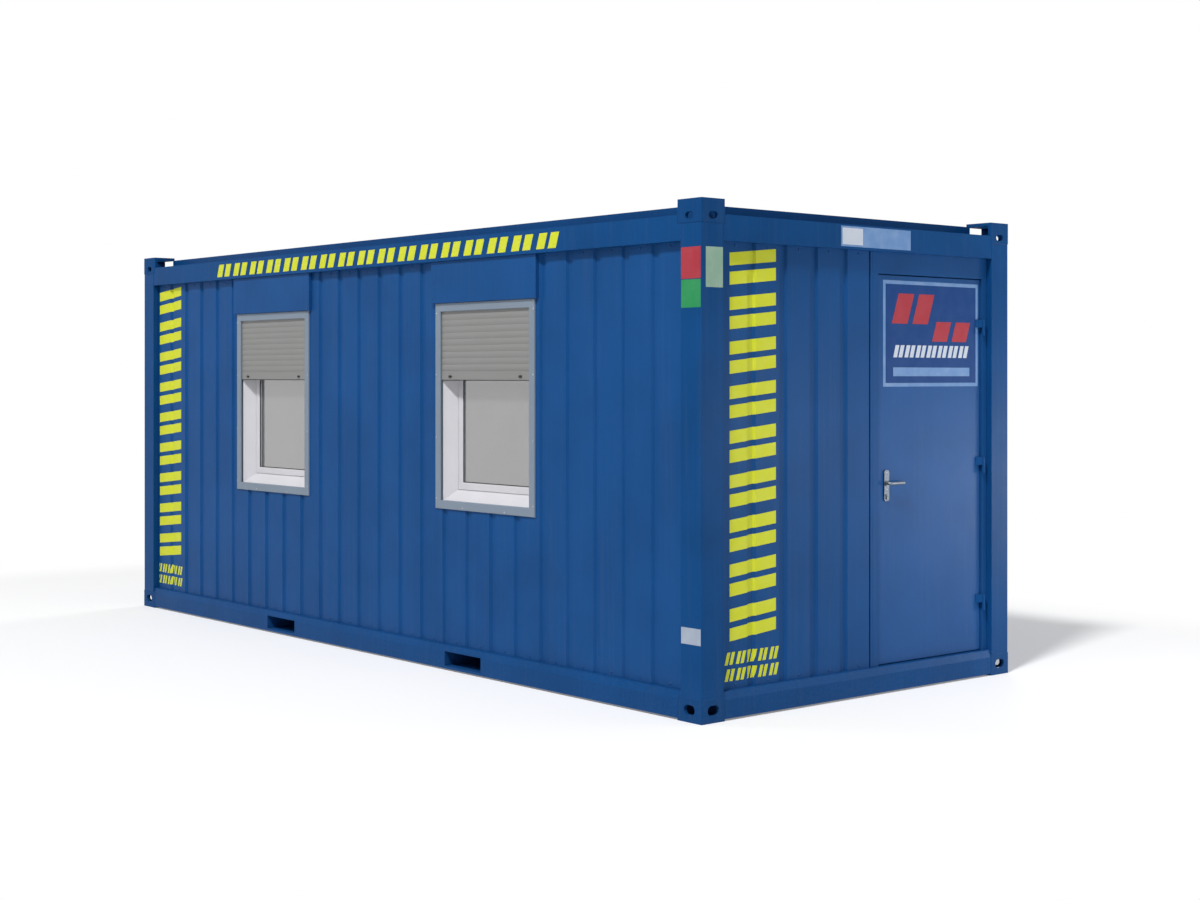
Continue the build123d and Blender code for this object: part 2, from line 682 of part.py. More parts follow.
def door_frame():
    """Steel door frame with a rebate that the leaf closes into."""
    outer_centre, outer = door_span(DOOR_ELEMENT[0], DOOR_ELEMENT[1], SILL, FRAME_TOP)
    rebate_centre, rebate = door_span(
        LEAF_LOCK_EDGE - LOCK_GAP, LEAF_HINGE_EDGE + DOOR_GAP, SILL - OVERSHOOT, LEAF_TOP + DOOR_GAP
    )
    stop_centre, stop = door_span(
        LEAF_LOCK_EDGE + LEAF_REBATE - LOCK_GAP - 2,
        LEAF_HINGE_EDGE - LEAF_REBATE + DOOR_GAP,
        LEAF_FOOT + LEAF_REBATE - DOOR_GAP,
        LEAF_TOP - LEAF_REBATE + DOOR_GAP,
    )
    rebate_depth = LEAF_SETBACK + LEAF_THICKNESS / 2 + STOP_GAP - WALL_SETBACK
    with BuildPart() as frame:
        with BuildSketch(DOOR_WALL.elevation(WALL_SETBACK)):
            with Locations(outer_centre):
                Rectangle(*outer)
            with Locations(stop_centre):
                Rectangle(*stop, mode=Mode.SUBTRACT)
        extrude(amount=-WALL_THICKNESS)
        with BuildSketch(DOOR_WALL.elevation(WALL_SETBACK)):
            with Locations(rebate_centre):
                Rectangle(*rebate)
        extrude(amount=-rebate_depth, mode=Mode.SUBTRACT)
    return frame


def door_head_panel():
    """Flat filler panel over the door frame."""
    centre, size = door_span(DOOR_ELEMENT[0], DOOR_ELEMENT[1], FRAME_TOP, PANEL_TOP)
    with BuildPart() as panel:
        with BuildSketch(DOOR_WALL.elevation(WALL_SETBACK)):
            with Locations(centre):
                Rectangle(*size)
        extrude(amount=-WALL_THICKNESS)
    return panel


def door_leaf():
    """Folded steel leaf: a wide outer tray, a narrower inner tray and a bore for the lever spindle."""
    centre, size = door_span(LEAF_LOCK_EDGE, LEAF_HINGE_EDGE, LEAF_FOOT, LEAF_TOP)
    with BuildPart() as leaf:
        with BuildSketch(DOOR_WALL.elevation(LEAF_SETBACK)):
            with Locations(centre):
                Rectangle(*size)
        extrude(amount=-LEAF_THICKNESS / 2)
        with BuildSketch(DOOR_WALL.elevation(LEAF_SETBACK + LEAF_THICKNESS / 2)):
            with Locations(centre):
                Rectangle(*inset_size(size, LEAF_REBATE))
        extrude(amount=-LEAF_THICKNESS / 2)
        chamfer(leaf.faces().sort_by(Axis.X)[-1].edges(), 2)
        with BuildSketch(DOOR_WALL.elevation(LEAF_SETBACK - OVERSHOOT)):
            with Locations((HANDLE_Y, HANDLE_Z)):
                Circle(SPINDLE_BORE)
        extrude(amount=-(LEAF_THICKNESS + 2 * OVERSHOOT), mode=Mode.SUBTRACT)
    return leaf


def hinge_pins():
    """Frame half of each lift-off hinge: plate, lower knuckle and standing pin."""
    face = HALF_LENGTH - WALL_SETBACK
    with BuildPart() as pins:
        for height in HINGE_HEIGHTS:
            with BuildSketch(Plane.XY.offset(height - KNUCKLE_HEIGHT)):
                with Locations((HINGE_X, HINGE_Y)):
                    Circle(KNUCKLE_RADIUS)
                with BuildLine():
                    Polyline(
                        (face, LEAF_HINGE_EDGE + DOOR_GAP),
                        (face, LEAF_HINGE_EDGE + DOOR_GAP + HINGE_PLATE_WIDTH),
                        (face + HINGE_PLATE, LEAF_HINGE_EDGE + DOOR_GAP + HINGE_PLATE_WIDTH),
                        (HINGE_X, HINGE_Y + KNUCKLE_RADIUS),
                        (HINGE_X, HINGE_Y),
                        close=True,
                    )
                make_face()
            extrude(amount=KNUCKLE_HEIGHT)
            with BuildSketch(Plane.XY.offset(height)):
                with Locations((HINGE_X, HINGE_Y)):
                    Circle(PIN_RADIUS)
            extrude(amount=KNUCKLE_HEIGHT - 3)
    return pins


def hinge_straps():
    """Leaf half of each lift-off hinge: plate and upper knuckle that drops over the pin."""
    face = HALF_LENGTH - LEAF_SETBACK
    with BuildPart() as straps:
        for height in HINGE_HEIGHTS:
            with BuildSketch(Plane.XY.offset(height + 0.5)):
                with BuildLine():
                    Polyline(
                        (face, LEAF_HINGE_EDGE - 2),
                        (face, LEAF_HINGE_EDGE - 2 - HINGE_PLATE_WIDTH),
                        (face + HINGE_PLATE, LEAF_HINGE_EDGE - 2 - HINGE_PLATE_WIDTH),
                        (HINGE_X, HINGE_Y - KNUCKLE_RADIUS),
                        (HINGE_X, HINGE_Y),
                        close=True,
                    )
                make_face()
                with Locations((HINGE_X, HINGE_Y)):
                    Circle(KNUCKLE_RADIUS)
                    Circle(PIN_RADIUS + RUNNING_GAP, mode=Mode.SUBTRACT)
            extrude(amount=KNUCKLE_HEIGHT)
    return straps


def lock_plates():
    """Handle plates on both sides of the leaf, each with its lock cylinder."""
    outer = HALF_LENGTH - LEAF_SETBACK
    inner = outer - LEAF_THICKNESS
    with BuildPart() as plates:
        for face, outward in ((outer, 1), (inner, -1)):
            with BuildSketch(Plane.YZ.offset(face)):
                with Locations((HANDLE_Y, HANDLE_Z - PLATE_DROP)):
                    RectangleRounded(*PLATE_SIZE, 12)
                with Locations((HANDLE_Y, HANDLE_Z)):
                    Circle(LEVER_RADIUS + RUNNING_GAP, mode=Mode.SUBTRACT)
            extrude(amount=outward * PLATE_THICKNESS)
            with BuildSketch(Plane.YZ.offset(face + outward * PLATE_THICKNESS)):
                with Locations((HANDLE_Y, HANDLE_Z - CYLINDER_DROP)):
                    Circle(8.5)
                with Locations((HANDLE_Y, HANDLE_Z - CYLINDER_DROP - 10)):
                    RectangleRounded(10, 26, 4.9)
            extrude(amount=outward * 4)
    return plates


def door_handle():
    """Inner and outer levers on one spindle, each bent from round bar with its end turned back to the leaf."""
    outer = HALF_LENGTH - LEAF_SETBACK
    inner = outer - LEAF_THICKNESS
    with BuildPart() as handle:
        with BuildSketch(Plane.YZ.offset(inner - 1)):
            with Locations((HANDLE_Y, HANDLE_Z)):
                Circle(SPINDLE_RADIUS)
        extrude(amount=LEAF_THICKNESS + 2)
        for face, outward in ((outer, 1), (inner, -1)):
            reach = face + outward * LEVER_REACH
            with BuildLine(Plane.XY.offset(HANDLE_Z)):
                FilletPolyline(
                    (face + outward * 0.5, HANDLE_Y),
                    (reach, HANDLE_Y),
                    (reach, HANDLE_Y + LEVER_LENGTH),
                    (face + outward * LEVER_RETURN, HANDLE_Y + LEVER_LENGTH),
                    radius=LEVER_BEND,
                )
            with BuildSketch(Plane((face + outward * 0.5, HANDLE_Y, HANDLE_Z), x_dir=(0, 1, 0), z_dir=(outward, 0, 0))):
                Circle(LEVER_RADIUS)
            sweep()
            with BuildSketch(Plane.YZ.offset(face + outward * (PLATE_THICKNESS + 1))):
                with Locations((HANDLE_Y, HANDLE_Z)):
                    Circle(COLLAR_RADIUS)
            extrude(amount=outward * COLLAR_HEIGHT)
    return handle


os.makedirs("parts", exist_ok=True)

# ---- Frame ----
for level in ("bottom", "top"):
    finish_piece(castings(level), f"{level}_castings")
for east, end_name in ((1, "door"), (-1, "rear")):
    for north, side_name in ((-1, "front"), (1, "back")):
        finish_piece(corner_post(east, north), f"corner_post_{end_name}_{side_name}")
for name, wall in WALL_LINES.items():
    finish_piece(bottom_rail(wall, wall in (WINDOW_WALL, BACK_WALL)), f"bottom_rail_{name}")
    finish_piece(top_rail(wall), f"top_rail_{name}")

# ---- Floor, ceiling and roof ----
finish_piece(fork_pockets(), "fork_pockets")
finish_piece(floor_crossbeams(), "floor_crossbeams")
finish_piece(boards(UNDERFLOOR_TOP - UNDERFLOOR_STEEL, UNDERFLOOR_STEEL, RAIL_LIP / 2), "underfloor_sheet")
finish_piece(floor_board(), "floor_board")
finish_piece(boards(PANEL_TOP, CEILING_THICKNESS, RAIL_LIP), "ceiling_board")
finish_piece(roof_sheet(), "roof_sheet")

# ---- Walls ----
for index in range(5):
    centre = (index - 2) * PANEL_WIDTH
    window = copysign(WINDOW_OFFSET, centre)
    if index in (1, 3):
        finish_piece(window_panel(WINDOW_WALL, centre, window), f"front_panel_{index + 1}")
    else:
        finish_piece(wall_panel(WINDOW_WALL, centre, PANEL_WIDTH), f"front_panel_{index + 1}")
    finish_piece(wall_panel(BACK_WALL, centre, PANEL_WIDTH), f"back_panel_{index + 1}")
wide_centre = (PANEL_WIDTH - 2 * DOOR_WALL.half_span) / 2
finish_piece(wall_panel(DOOR_WALL, wide_centre, PANEL_WIDTH), "door_end_panel")
narrow = 2 * REAR_WALL.half_span - PANEL_WIDTH
finish_piece(wall_panel(REAR_WALL, -wide_centre, PANEL_WIDTH), "rear_end_panel_wide")
finish_piece(wall_panel(REAR_WALL, (narrow - 2 * REAR_WALL.half_span) / 2, narrow), "rear_end_panel_narrow")

# ---- Windows ----
for name, along in (("left", -WINDOW_OFFSET), ("right", WINDOW_OFFSET)):
    window = ShutteredWindow(WINDOW_WALL, along)
    finish_piece(window.trim(), f"window_trim_{name}")
    finish_piece(window.frame(), f"window_frame_{name}")
    finish_piece(window.sash(), f"window_sash_{name}")
    finish_piece(window.glass(), f"window_glass_{name}")
    finish_piece(window.shutter(), f"shutter_curtain_{name}")
    finish_piece(window.box(), f"shutter_box_{name}")
    finish_piece(window.head_cover(), f"window_head_cover_{name}")

# ---- Door ----
finish_piece(door_frame(), "door_frame")
finish_piece(door_head_panel(), "door_head_panel")
finish_piece(door_leaf(), "door_leaf")
finish_piece(hinge_pins(), "door_hinge_pins")
finish_piece(hinge_straps(), "door_hinge_straps")
finish_piece(lock_plates(), "door_lock_plates")
finish_piece(door_handle(), "door_handle")
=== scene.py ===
"""Looks of a portable site cabin.

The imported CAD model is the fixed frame. This script dresses every node of it with a worked surface
and adds what is too fine for the CAD: marking film, plates, seals, screws, weld beads and room linings.
Row frame, in metres: X runs towards the door end, the window wall is at -Y, Z is up from the ground.
"""
from __future__ import annotations

import json
import logging
import math
from dataclasses import dataclass
from enum import Enum
from functools import partial
from typing import Any, Callable, Sequence

import bmesh
import bpy
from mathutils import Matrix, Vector

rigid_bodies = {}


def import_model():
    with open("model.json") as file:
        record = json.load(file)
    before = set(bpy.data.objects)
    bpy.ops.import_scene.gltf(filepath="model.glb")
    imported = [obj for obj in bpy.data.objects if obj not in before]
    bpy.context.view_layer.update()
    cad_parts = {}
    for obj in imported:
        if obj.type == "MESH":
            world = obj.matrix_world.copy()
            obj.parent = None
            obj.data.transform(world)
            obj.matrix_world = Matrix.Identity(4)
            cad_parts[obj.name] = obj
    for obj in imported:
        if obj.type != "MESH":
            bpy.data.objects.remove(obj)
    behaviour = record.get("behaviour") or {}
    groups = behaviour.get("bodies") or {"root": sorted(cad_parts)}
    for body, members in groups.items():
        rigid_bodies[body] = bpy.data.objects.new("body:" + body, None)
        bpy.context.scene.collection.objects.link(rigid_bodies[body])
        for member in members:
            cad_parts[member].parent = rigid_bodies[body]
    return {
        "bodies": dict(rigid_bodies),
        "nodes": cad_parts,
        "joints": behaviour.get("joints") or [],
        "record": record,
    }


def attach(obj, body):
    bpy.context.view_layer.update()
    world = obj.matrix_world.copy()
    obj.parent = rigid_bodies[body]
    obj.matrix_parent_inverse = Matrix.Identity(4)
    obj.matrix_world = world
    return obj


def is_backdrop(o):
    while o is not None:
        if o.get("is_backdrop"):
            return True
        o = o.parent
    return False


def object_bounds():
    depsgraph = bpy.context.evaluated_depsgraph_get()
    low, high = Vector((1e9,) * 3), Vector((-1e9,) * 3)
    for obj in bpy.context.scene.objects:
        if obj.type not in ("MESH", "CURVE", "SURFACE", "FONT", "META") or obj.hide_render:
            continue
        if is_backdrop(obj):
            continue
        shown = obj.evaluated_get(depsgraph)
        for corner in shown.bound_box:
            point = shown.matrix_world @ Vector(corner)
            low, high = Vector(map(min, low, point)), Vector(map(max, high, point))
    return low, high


LOG = logging.getLogger("site_cabin")
MM = 0.001
CABIN = "cabin"
DOOR = "door"
WINDOW_MIDDLE = 1.190
# Film is drawn several times too thick, so that its edge shows, and each layer lies clear of the one below.
FILM_THICKNESS = 0.0006
FILM_LAYER = 0.0007

Span = tuple[float, float]
Place = tuple[float, float]  # Place along a wall, and height.
Size = tuple[float, float]  # Width and height.
Head = tuple[float, float]  # Radius of a head's washer, and how far the head stands out.
Triple = tuple[float, float, float]
Colour = tuple[float, float, float, float]
Area = tuple[Span, Span]  # Span along a wall, then span in height.
Outline = Sequence[Place]
Socket = bpy.types.NodeSocket
Paint = str | Colour | Socket  # sRGB hex, linear colour, or a pattern's output.


def linear(hex_colour: str, share: float = 1.0) -> Colour:
    """Turn an sRGB hex colour into opaque linear RGBA.

    Args:
        hex_colour: Six hex digits after a hash.
        share: Share of its light that is kept, above 1 for a paler one.

    Returns:
        Linear red, green, blue and a full alpha.
    """
    channels = [int(hex_colour[i : i + 2], 16) / 255 for i in (1, 3, 5)]
    light = (c / 12.92 if c <= 0.04045 else ((c + 0.055) / 1.055) ** 2.4 for c in channels)
    red, green, blue = (min(1.0, c * share) for c in light)
    return (red, green, blue, 1.0)


def add_node(
    tree: bpy.types.NodeTree, kind: str, inputs: dict[str | int, Any] | None = None, **settings: Any
) -> bpy.types.Node:
    """Add a node with its settings, values and links.

    Args:
        tree: The node tree that takes the node.
        kind: The node's type name.
        inputs: Socket name or index to a value, or to an output socket to link.
        **settings: Properties of the node itself.

    Returns:
        The new node.
    """
    node = tree.nodes.new(kind)
    for key, value in settings.items():
        setattr(node, key, value)
    for key, value in (inputs or {}).items():
        if isinstance(value, Socket):
            tree.links.new(value, node.inputs[key])
        else:
            node.inputs[key].default_value = value
    return node


# ---- Surfaces ----


@dataclass(frozen=True)
class Relief:
    """One layer of relief: its pattern, its depth and the share of it that is drawn."""

    height: Socket
    depth_mm: float
    strength: float


class Skin:
    """Node tree of one finish, with the patterns that several finishes share."""

    def __init__(self, finish: Finish) -> None:
        """Start the material with its constants on the shader.

        Args:
            finish: The finish that is made.
        """
        self.finish = finish
        self.material = bpy.data.materials.new(finish.name)
        self.material.use_nodes = True
        self.material.diffuse_color = linear(finish.colour)
        self.tree = self.material.node_tree
        self.tree.nodes.clear()
        self.node: Callable[..., bpy.types.Node] = partial(add_node, self.tree)
        constants = {
            "Base Color": linear(finish.colour), "Roughness": finish.roughness, "Metallic": finish.metallic,
        }
        # A bare metal keeps the shader's own index of refraction.
        if not finish.metallic:
            constants |= {"IOR": finish.ior, "Specular IOR Level": finish.gloss}
        self.shader = self.node("ShaderNodeBsdfPrincipled", constants)
        self.node("ShaderNodeOutputMaterial", {"Surface": self.shader.outputs["BSDF"]})
        self.where = self.node("ShaderNodeTexCoord").outputs["Object"]

    def grains(
        self, size_mm: float, stretch: Triple = (1, 1, 1), octaves: float = 3.0, between: Span = (0.0, 1.0)
    ) -> Socket:
        """Irregular grains of a real size.

        Args:
            size_mm: Size of one grain.
            stretch: How many grains long a grain is along X, Y and Z.
            octaves: Finer grains laid over the first.
            between: Noise levels that are spread to 0 and 1.

        Returns:
            A mask from 0 to 1.
        """
        scale = tuple(1 / (size_mm * MM * s) for s in stretch)
        mapped = self.node("ShaderNodeMapping", {"Vector": self.where, "Scale": scale}).outputs["Vector"]
        noise = self.node("ShaderNodeTexNoise", {"Vector": mapped, "Scale": 1.0, "Detail": octaves})
        limits = {"Value": noise.outputs["Fac"], "From Min": between[0], "From Max": between[1]}
        return self.node("ShaderNodeMapRange", limits).outputs["Result"]

    def cells(self, size_mm: float) -> tuple[Socket, Socket]:
        """Cells of a real size, such as zinc spangles or vinyl chips.

        Args:
            size_mm: Size of one cell.

        Returns:
            A random value for each cell, and the distance from its middle.
        """
        scale = (1 / (size_mm * MM),) * 3
        mapped = self.node("ShaderNodeMapping", {"Vector": self.where, "Scale": scale})
        voronoi = self.node("ShaderNodeTexVoronoi", {"Vector": mapped.outputs["Vector"], "Scale": 1.0})
        pick = self.node("ShaderNodeSeparateColor", {"Color": voronoi.outputs["Color"]})
        return pick.outputs[0], voronoi.outputs["Distance"]

    def stain(self, under: Paint, over: Paint, mask: Socket, strength: float) -> Socket:
        """Lay one colour over another through a mask.

        Args:
            under: Colour below.
            over: Colour on top.
            mask: Where it lies.
            strength: Cover where the mask is 1.

        Returns:
            The mixed colour.
        """
        under, over = (linear(side) if isinstance(side, str) else side for side in (under, over))
        cover = self.node("ShaderNodeMapRange", {"Value": mask, "To Max": strength}).outputs["Result"]
        return self.node("ShaderNodeMix", {0: cover, 6: under, 7: over}, data_type="RGBA").outputs[2]

    def close(self, colour: Socket, mask: Socket, *layers: Relief) -> None:
        """Link the worked colour, roughness and relief to the shader.

        Args:
            colour: The worked colour.
            mask: Pattern that varies the roughness by the finish's spread.
            *layers: Its relief, coarse to fine.
        """
        low, high = (self.finish.roughness + step for step in self.finish.spread)
        limits = {"Value": mask, "To Min": low, "To Max": high}
        rough = self.node("ShaderNodeMapRange", limits).outputs["Result"]
        normal = {}
        for layer in layers:
            inputs = {"Height": layer.height, "Distance": layer.depth_mm * MM, "Strength": layer.strength}
            inputs |= normal
            normal = {"Normal": self.node("ShaderNodeBump", inputs).outputs["Normal"]}
        for socket, value in ({"Base Color": colour, "Roughness": rough} | normal).items():
            self.tree.links.new(value, self.shader.inputs[socket])


@dataclass(frozen=True)
class Finish:
    """A real material with the surface that its making gave it."""

    name: str
    colour: str
    roughness: float = 0.4
    metallic: float = 0.0
    ior: float = 1.5
    gloss: float = 0.5
    # What the surface pattern adds to the roughness where it is 0 and where it is 1.
    spread: Span = (-0.05, 0.08)

    def build(self) -> bpy.types.Material:
        """Make the material.

        Returns:
            The finished node material.
        """
        skin = Skin(self)
        self.work(skin)
        return skin.material

    def work(self, skin: Skin) -> None:
        """Add the patterns of the surface, which each kind of finish has of its own."""
        raise NotImplementedError


@dataclass(frozen=True)
class CoatedSteel(Finish):
    """Steel under sprayed, powder or coil-coated enamel: even colour, low gloss, never dead flat."""

    gloss: float = 0.16
    spread: Span = (-0.06, 0.08)
    mottle: float = 0.07
    mottle_mm: float = 420
    dirt: str = "#7A7B78"
    streaks: float = 0.05
    streak_mm: float = 26
    dust: str = "#8C877C"
    splash: float = 0.05
    splash_top: float = 0.28
    speck_mm: float = 16
    polish_mm: float = 90
    wave_mm: float = 1.0
    wave_width_mm: float = 330
    peel_mm: float = 5
    peel_depth_mm: float = 0.05

    def work(self, skin: Skin) -> None:
        """Mottle the enamel, run faint rain streaks down it and dust its foot.

        Args:
            skin: Node tree of the finish.
        """
        deep, pale = (linear(self.colour, 1 + side * self.mottle) for side in (-1, 1))
        colour = skin.stain(deep, pale, skin.grains(self.mottle_mm, octaves=4, between=(0.35, 0.65)), 1.0)
        # Rain leaves streaks a few centimetres wide and more than a metre long.
        rain = skin.grains(self.streak_mm, stretch=(1, 1, 42), octaves=5, between=(0.52, 0.80))
        colour = skin.stain(colour, self.dirt, rain, self.streaks)
        # Splashed dust is gone a hand's width above the sill.
        specks = skin.grains(self.speck_mm, octaves=6, between=(0.38, 0.72))
        height = skin.node("ShaderNodeSeparateXYZ", {"Vector": skin.where}).outputs["Z"]
        limits = {"Value": height, "From Max": self.splash_top, "To Min": 1.0, "To Max": 0.0}
        fade = skin.node("ShaderNodeMapRange", limits).outputs["Result"]
        low = skin.node("ShaderNodeMath", {0: fade, 1: specks}, operation="MULTIPLY").outputs[0]
        colour = skin.stain(colour, self.dust, low, self.splash)
        # Orange peel is 1 mm wide in life and drawn at 5 mm so that it shows.
        wave, peel = skin.grains(self.wave_width_mm, octaves=1), skin.grains(self.peel_mm, octaves=2)
        polish = skin.grains(self.polish_mm, octaves=4)
        skin.close(colour, polish, Relief(wave, self.wave_mm, 0.3), Relief(peel, self.peel_depth_mm, 0.2))


@dataclass(frozen=True)
class GalvanisedSteel(Finish):
    """Hot-dip or electroplated zinc: bright spangles that went matt outdoors."""

    metallic: float = 1.0
    spread: Span = (-0.05, 0.15)
    spangle_mm: float = 14.0
    spangle_depth_mm: float = 0.05
    dull: float = 0.72
    bloom: str = "#9A9D9B"
    bloom_mm: float = 240
    buckle_mm: float = 260
    buckle_depth_mm: float = 0.8

    def work(self, skin: Skin) -> None:
        """Break the zinc into spangles and cloud it with white bloom.

        Args:
            skin: Node tree of the finish.
        """
        shade, edge = skin.cells(self.spangle_mm)
        zinc = skin.stain(self.colour, linear(self.colour, self.dull), shade, 1.0)
        colour = skin.stain(zinc, self.bloom, skin.grains(self.bloom_mm, octaves=5, between=(0.4, 0.75)), 0.4)
        buckles = Relief(skin.grains(self.buckle_mm, octaves=1), self.buckle_depth_mm, 0.3)
        skin.close(colour, edge, buckles, Relief(edge, self.spangle_depth_mm, 0.2))


@dataclass(frozen=True)
class BrushedMetal(Finish):
    """Satin anodised aluminium, brushed along the part: soft streaky highlights."""

    metallic: float = 1.0
    spread: Span = (-0.04, 0.12)
    brush: Triple = (1, 30, 1)
    line_mm: float = 1.0
    line_depth_mm: float = 0.02
    grease: str = "#6F7278"
    touch_mm: float = 35

    def work(self, skin: Skin) -> None:
        """Draw the brush lines and dull the handled parts.

        Args:
            skin: Node tree of the finish.
        """
        # Brush lines are 0.2 mm apart in life and 1 mm here, so that they show.
        lines = skin.grains(self.line_mm, stretch=self.brush, octaves=2)
        touched = skin.grains(self.touch_mm, octaves=4, between=(0.4, 0.7))
        colour = skin.stain(self.colour, self.grease, touched, 0.25)
        skin.close(colour, touched, Relief(lines, self.line_depth_mm, 0.35))


@dataclass(frozen=True)
class MouldedPlastic(Finish):
    """Extruded or moulded plastic: even colour, faint drag lines or grain, a little dust."""

    spread: Span = (-0.04, 0.06)
    grain_mm: float = 2.0
    grain_depth_mm: float = 0.05
    drag: Triple = (1, 1, 1)
    dust: str = "#77756E"
    dusting: float = 0.08
    cloud_mm: float = 140

    def work(self, skin: Skin) -> None:
        """Cloud the colour slightly and texture the skin.

        Args:
            skin: Node tree of the finish.
        """
        clouds = skin.grains(self.cloud_mm, octaves=4, between=(0.35, 0.8))
        grain = skin.grains(self.grain_mm, self.drag, octaves=2)
        colour = skin.stain(self.colour, self.dust, clouds, self.dusting)
        skin.close(colour, grain, Relief(grain, self.grain_depth_mm, 0.3))


@dataclass(frozen=True)
class FloatGlass(Finish):
    """Sealed unit with a sun coating: smooth, mirrors a pale sky, lets a little of the room through."""

    ior: float = 1.52
    spread: Span = (0.0, 0.08)
    clearness: float = 0.50
    coating: float = 0.50
    dust: str = "#A9A8A2"
    film_mm: float = 180
    pull_mm: float = 300
    pull_depth_mm: float = 0.4

    def work(self, skin: Skin) -> None:
        """Film the outer pane with a trace of dust and let it pull slightly out of flat.

        Args:
            skin: Node tree of the finish.
        """
        film = skin.grains(self.film_mm, octaves=5, between=(0.35, 0.8))
        for socket, value in (
            ("Transmission Weight", self.clearness), ("Metallic", self.coating),
            ("Coat Weight", 0.5), ("Coat Roughness", 0.03),
        ):
            skin.shader.inputs[socket].default_value = value
        colour = skin.stain(self.colour, self.dust, film, 0.25)
        skin.close(colour, film, Relief(skin.grains(self.pull_mm, octaves=0), self.pull_depth_mm, 0.1))


@dataclass(frozen=True)
class BoardCovering(Finish):
    """Sheet vinyl or coated chipboard: printed chips a few millimetres across under a matt wear layer."""

    spread: Span = (-0.08, 0.1)
    chip: str = "#B8BABC"
    chip_mm: float = 4.0
    chips: float = 0.35
    scuff_mm: float = 120
    emboss_mm: float = 3
    emboss_depth_mm: float = 0.06

    def work(self, skin: Skin) -> None:
        """Scatter the chips and scuff the wear layer.

        Args:
            skin: Node tree of the finish.
        """
        limits = {"Value": skin.cells(self.chip_mm)[0], "From Min": 0.55, "From Max": 0.75}
        picked = skin.node("ShaderNodeMapRange", limits).outputs["Result"]
        colour = skin.stain(self.colour, self.chip, picked, self.chips)
        scuffs, emboss = skin.grains(self.scuff_mm, octaves=5), skin.grains(self.emboss_mm, octaves=2)
        skin.close(colour, scuffs, Relief(emboss, self.emboss_depth_mm, 0.2))


@dataclass(frozen=True)
class PrintedFilm(Finish):
    """Self-adhesive vinyl film: flat printed colour, slightly chalked by the sun."""

    gloss: float = 0.08
    chalk: str = "#FFFFFF"
    patch_mm: float = 70
    grain_mm: float = 4
    grain_depth_mm: float = 0.04

    def work(self, skin: Skin) -> None:
        """Chalk the print in patches and leave a fine calendered skin.

        Args:
            skin: Node tree of the finish.
        """
        patches = skin.grains(self.patch_mm, octaves=5, between=(0.4, 0.8))
        grain = skin.grains(self.grain_mm, octaves=3)
        colour = skin.stain(self.colour, self.chalk, patches, 0.10)
        skin.close(colour, grain, Relief(grain, self.grain_depth_mm, 0.3))


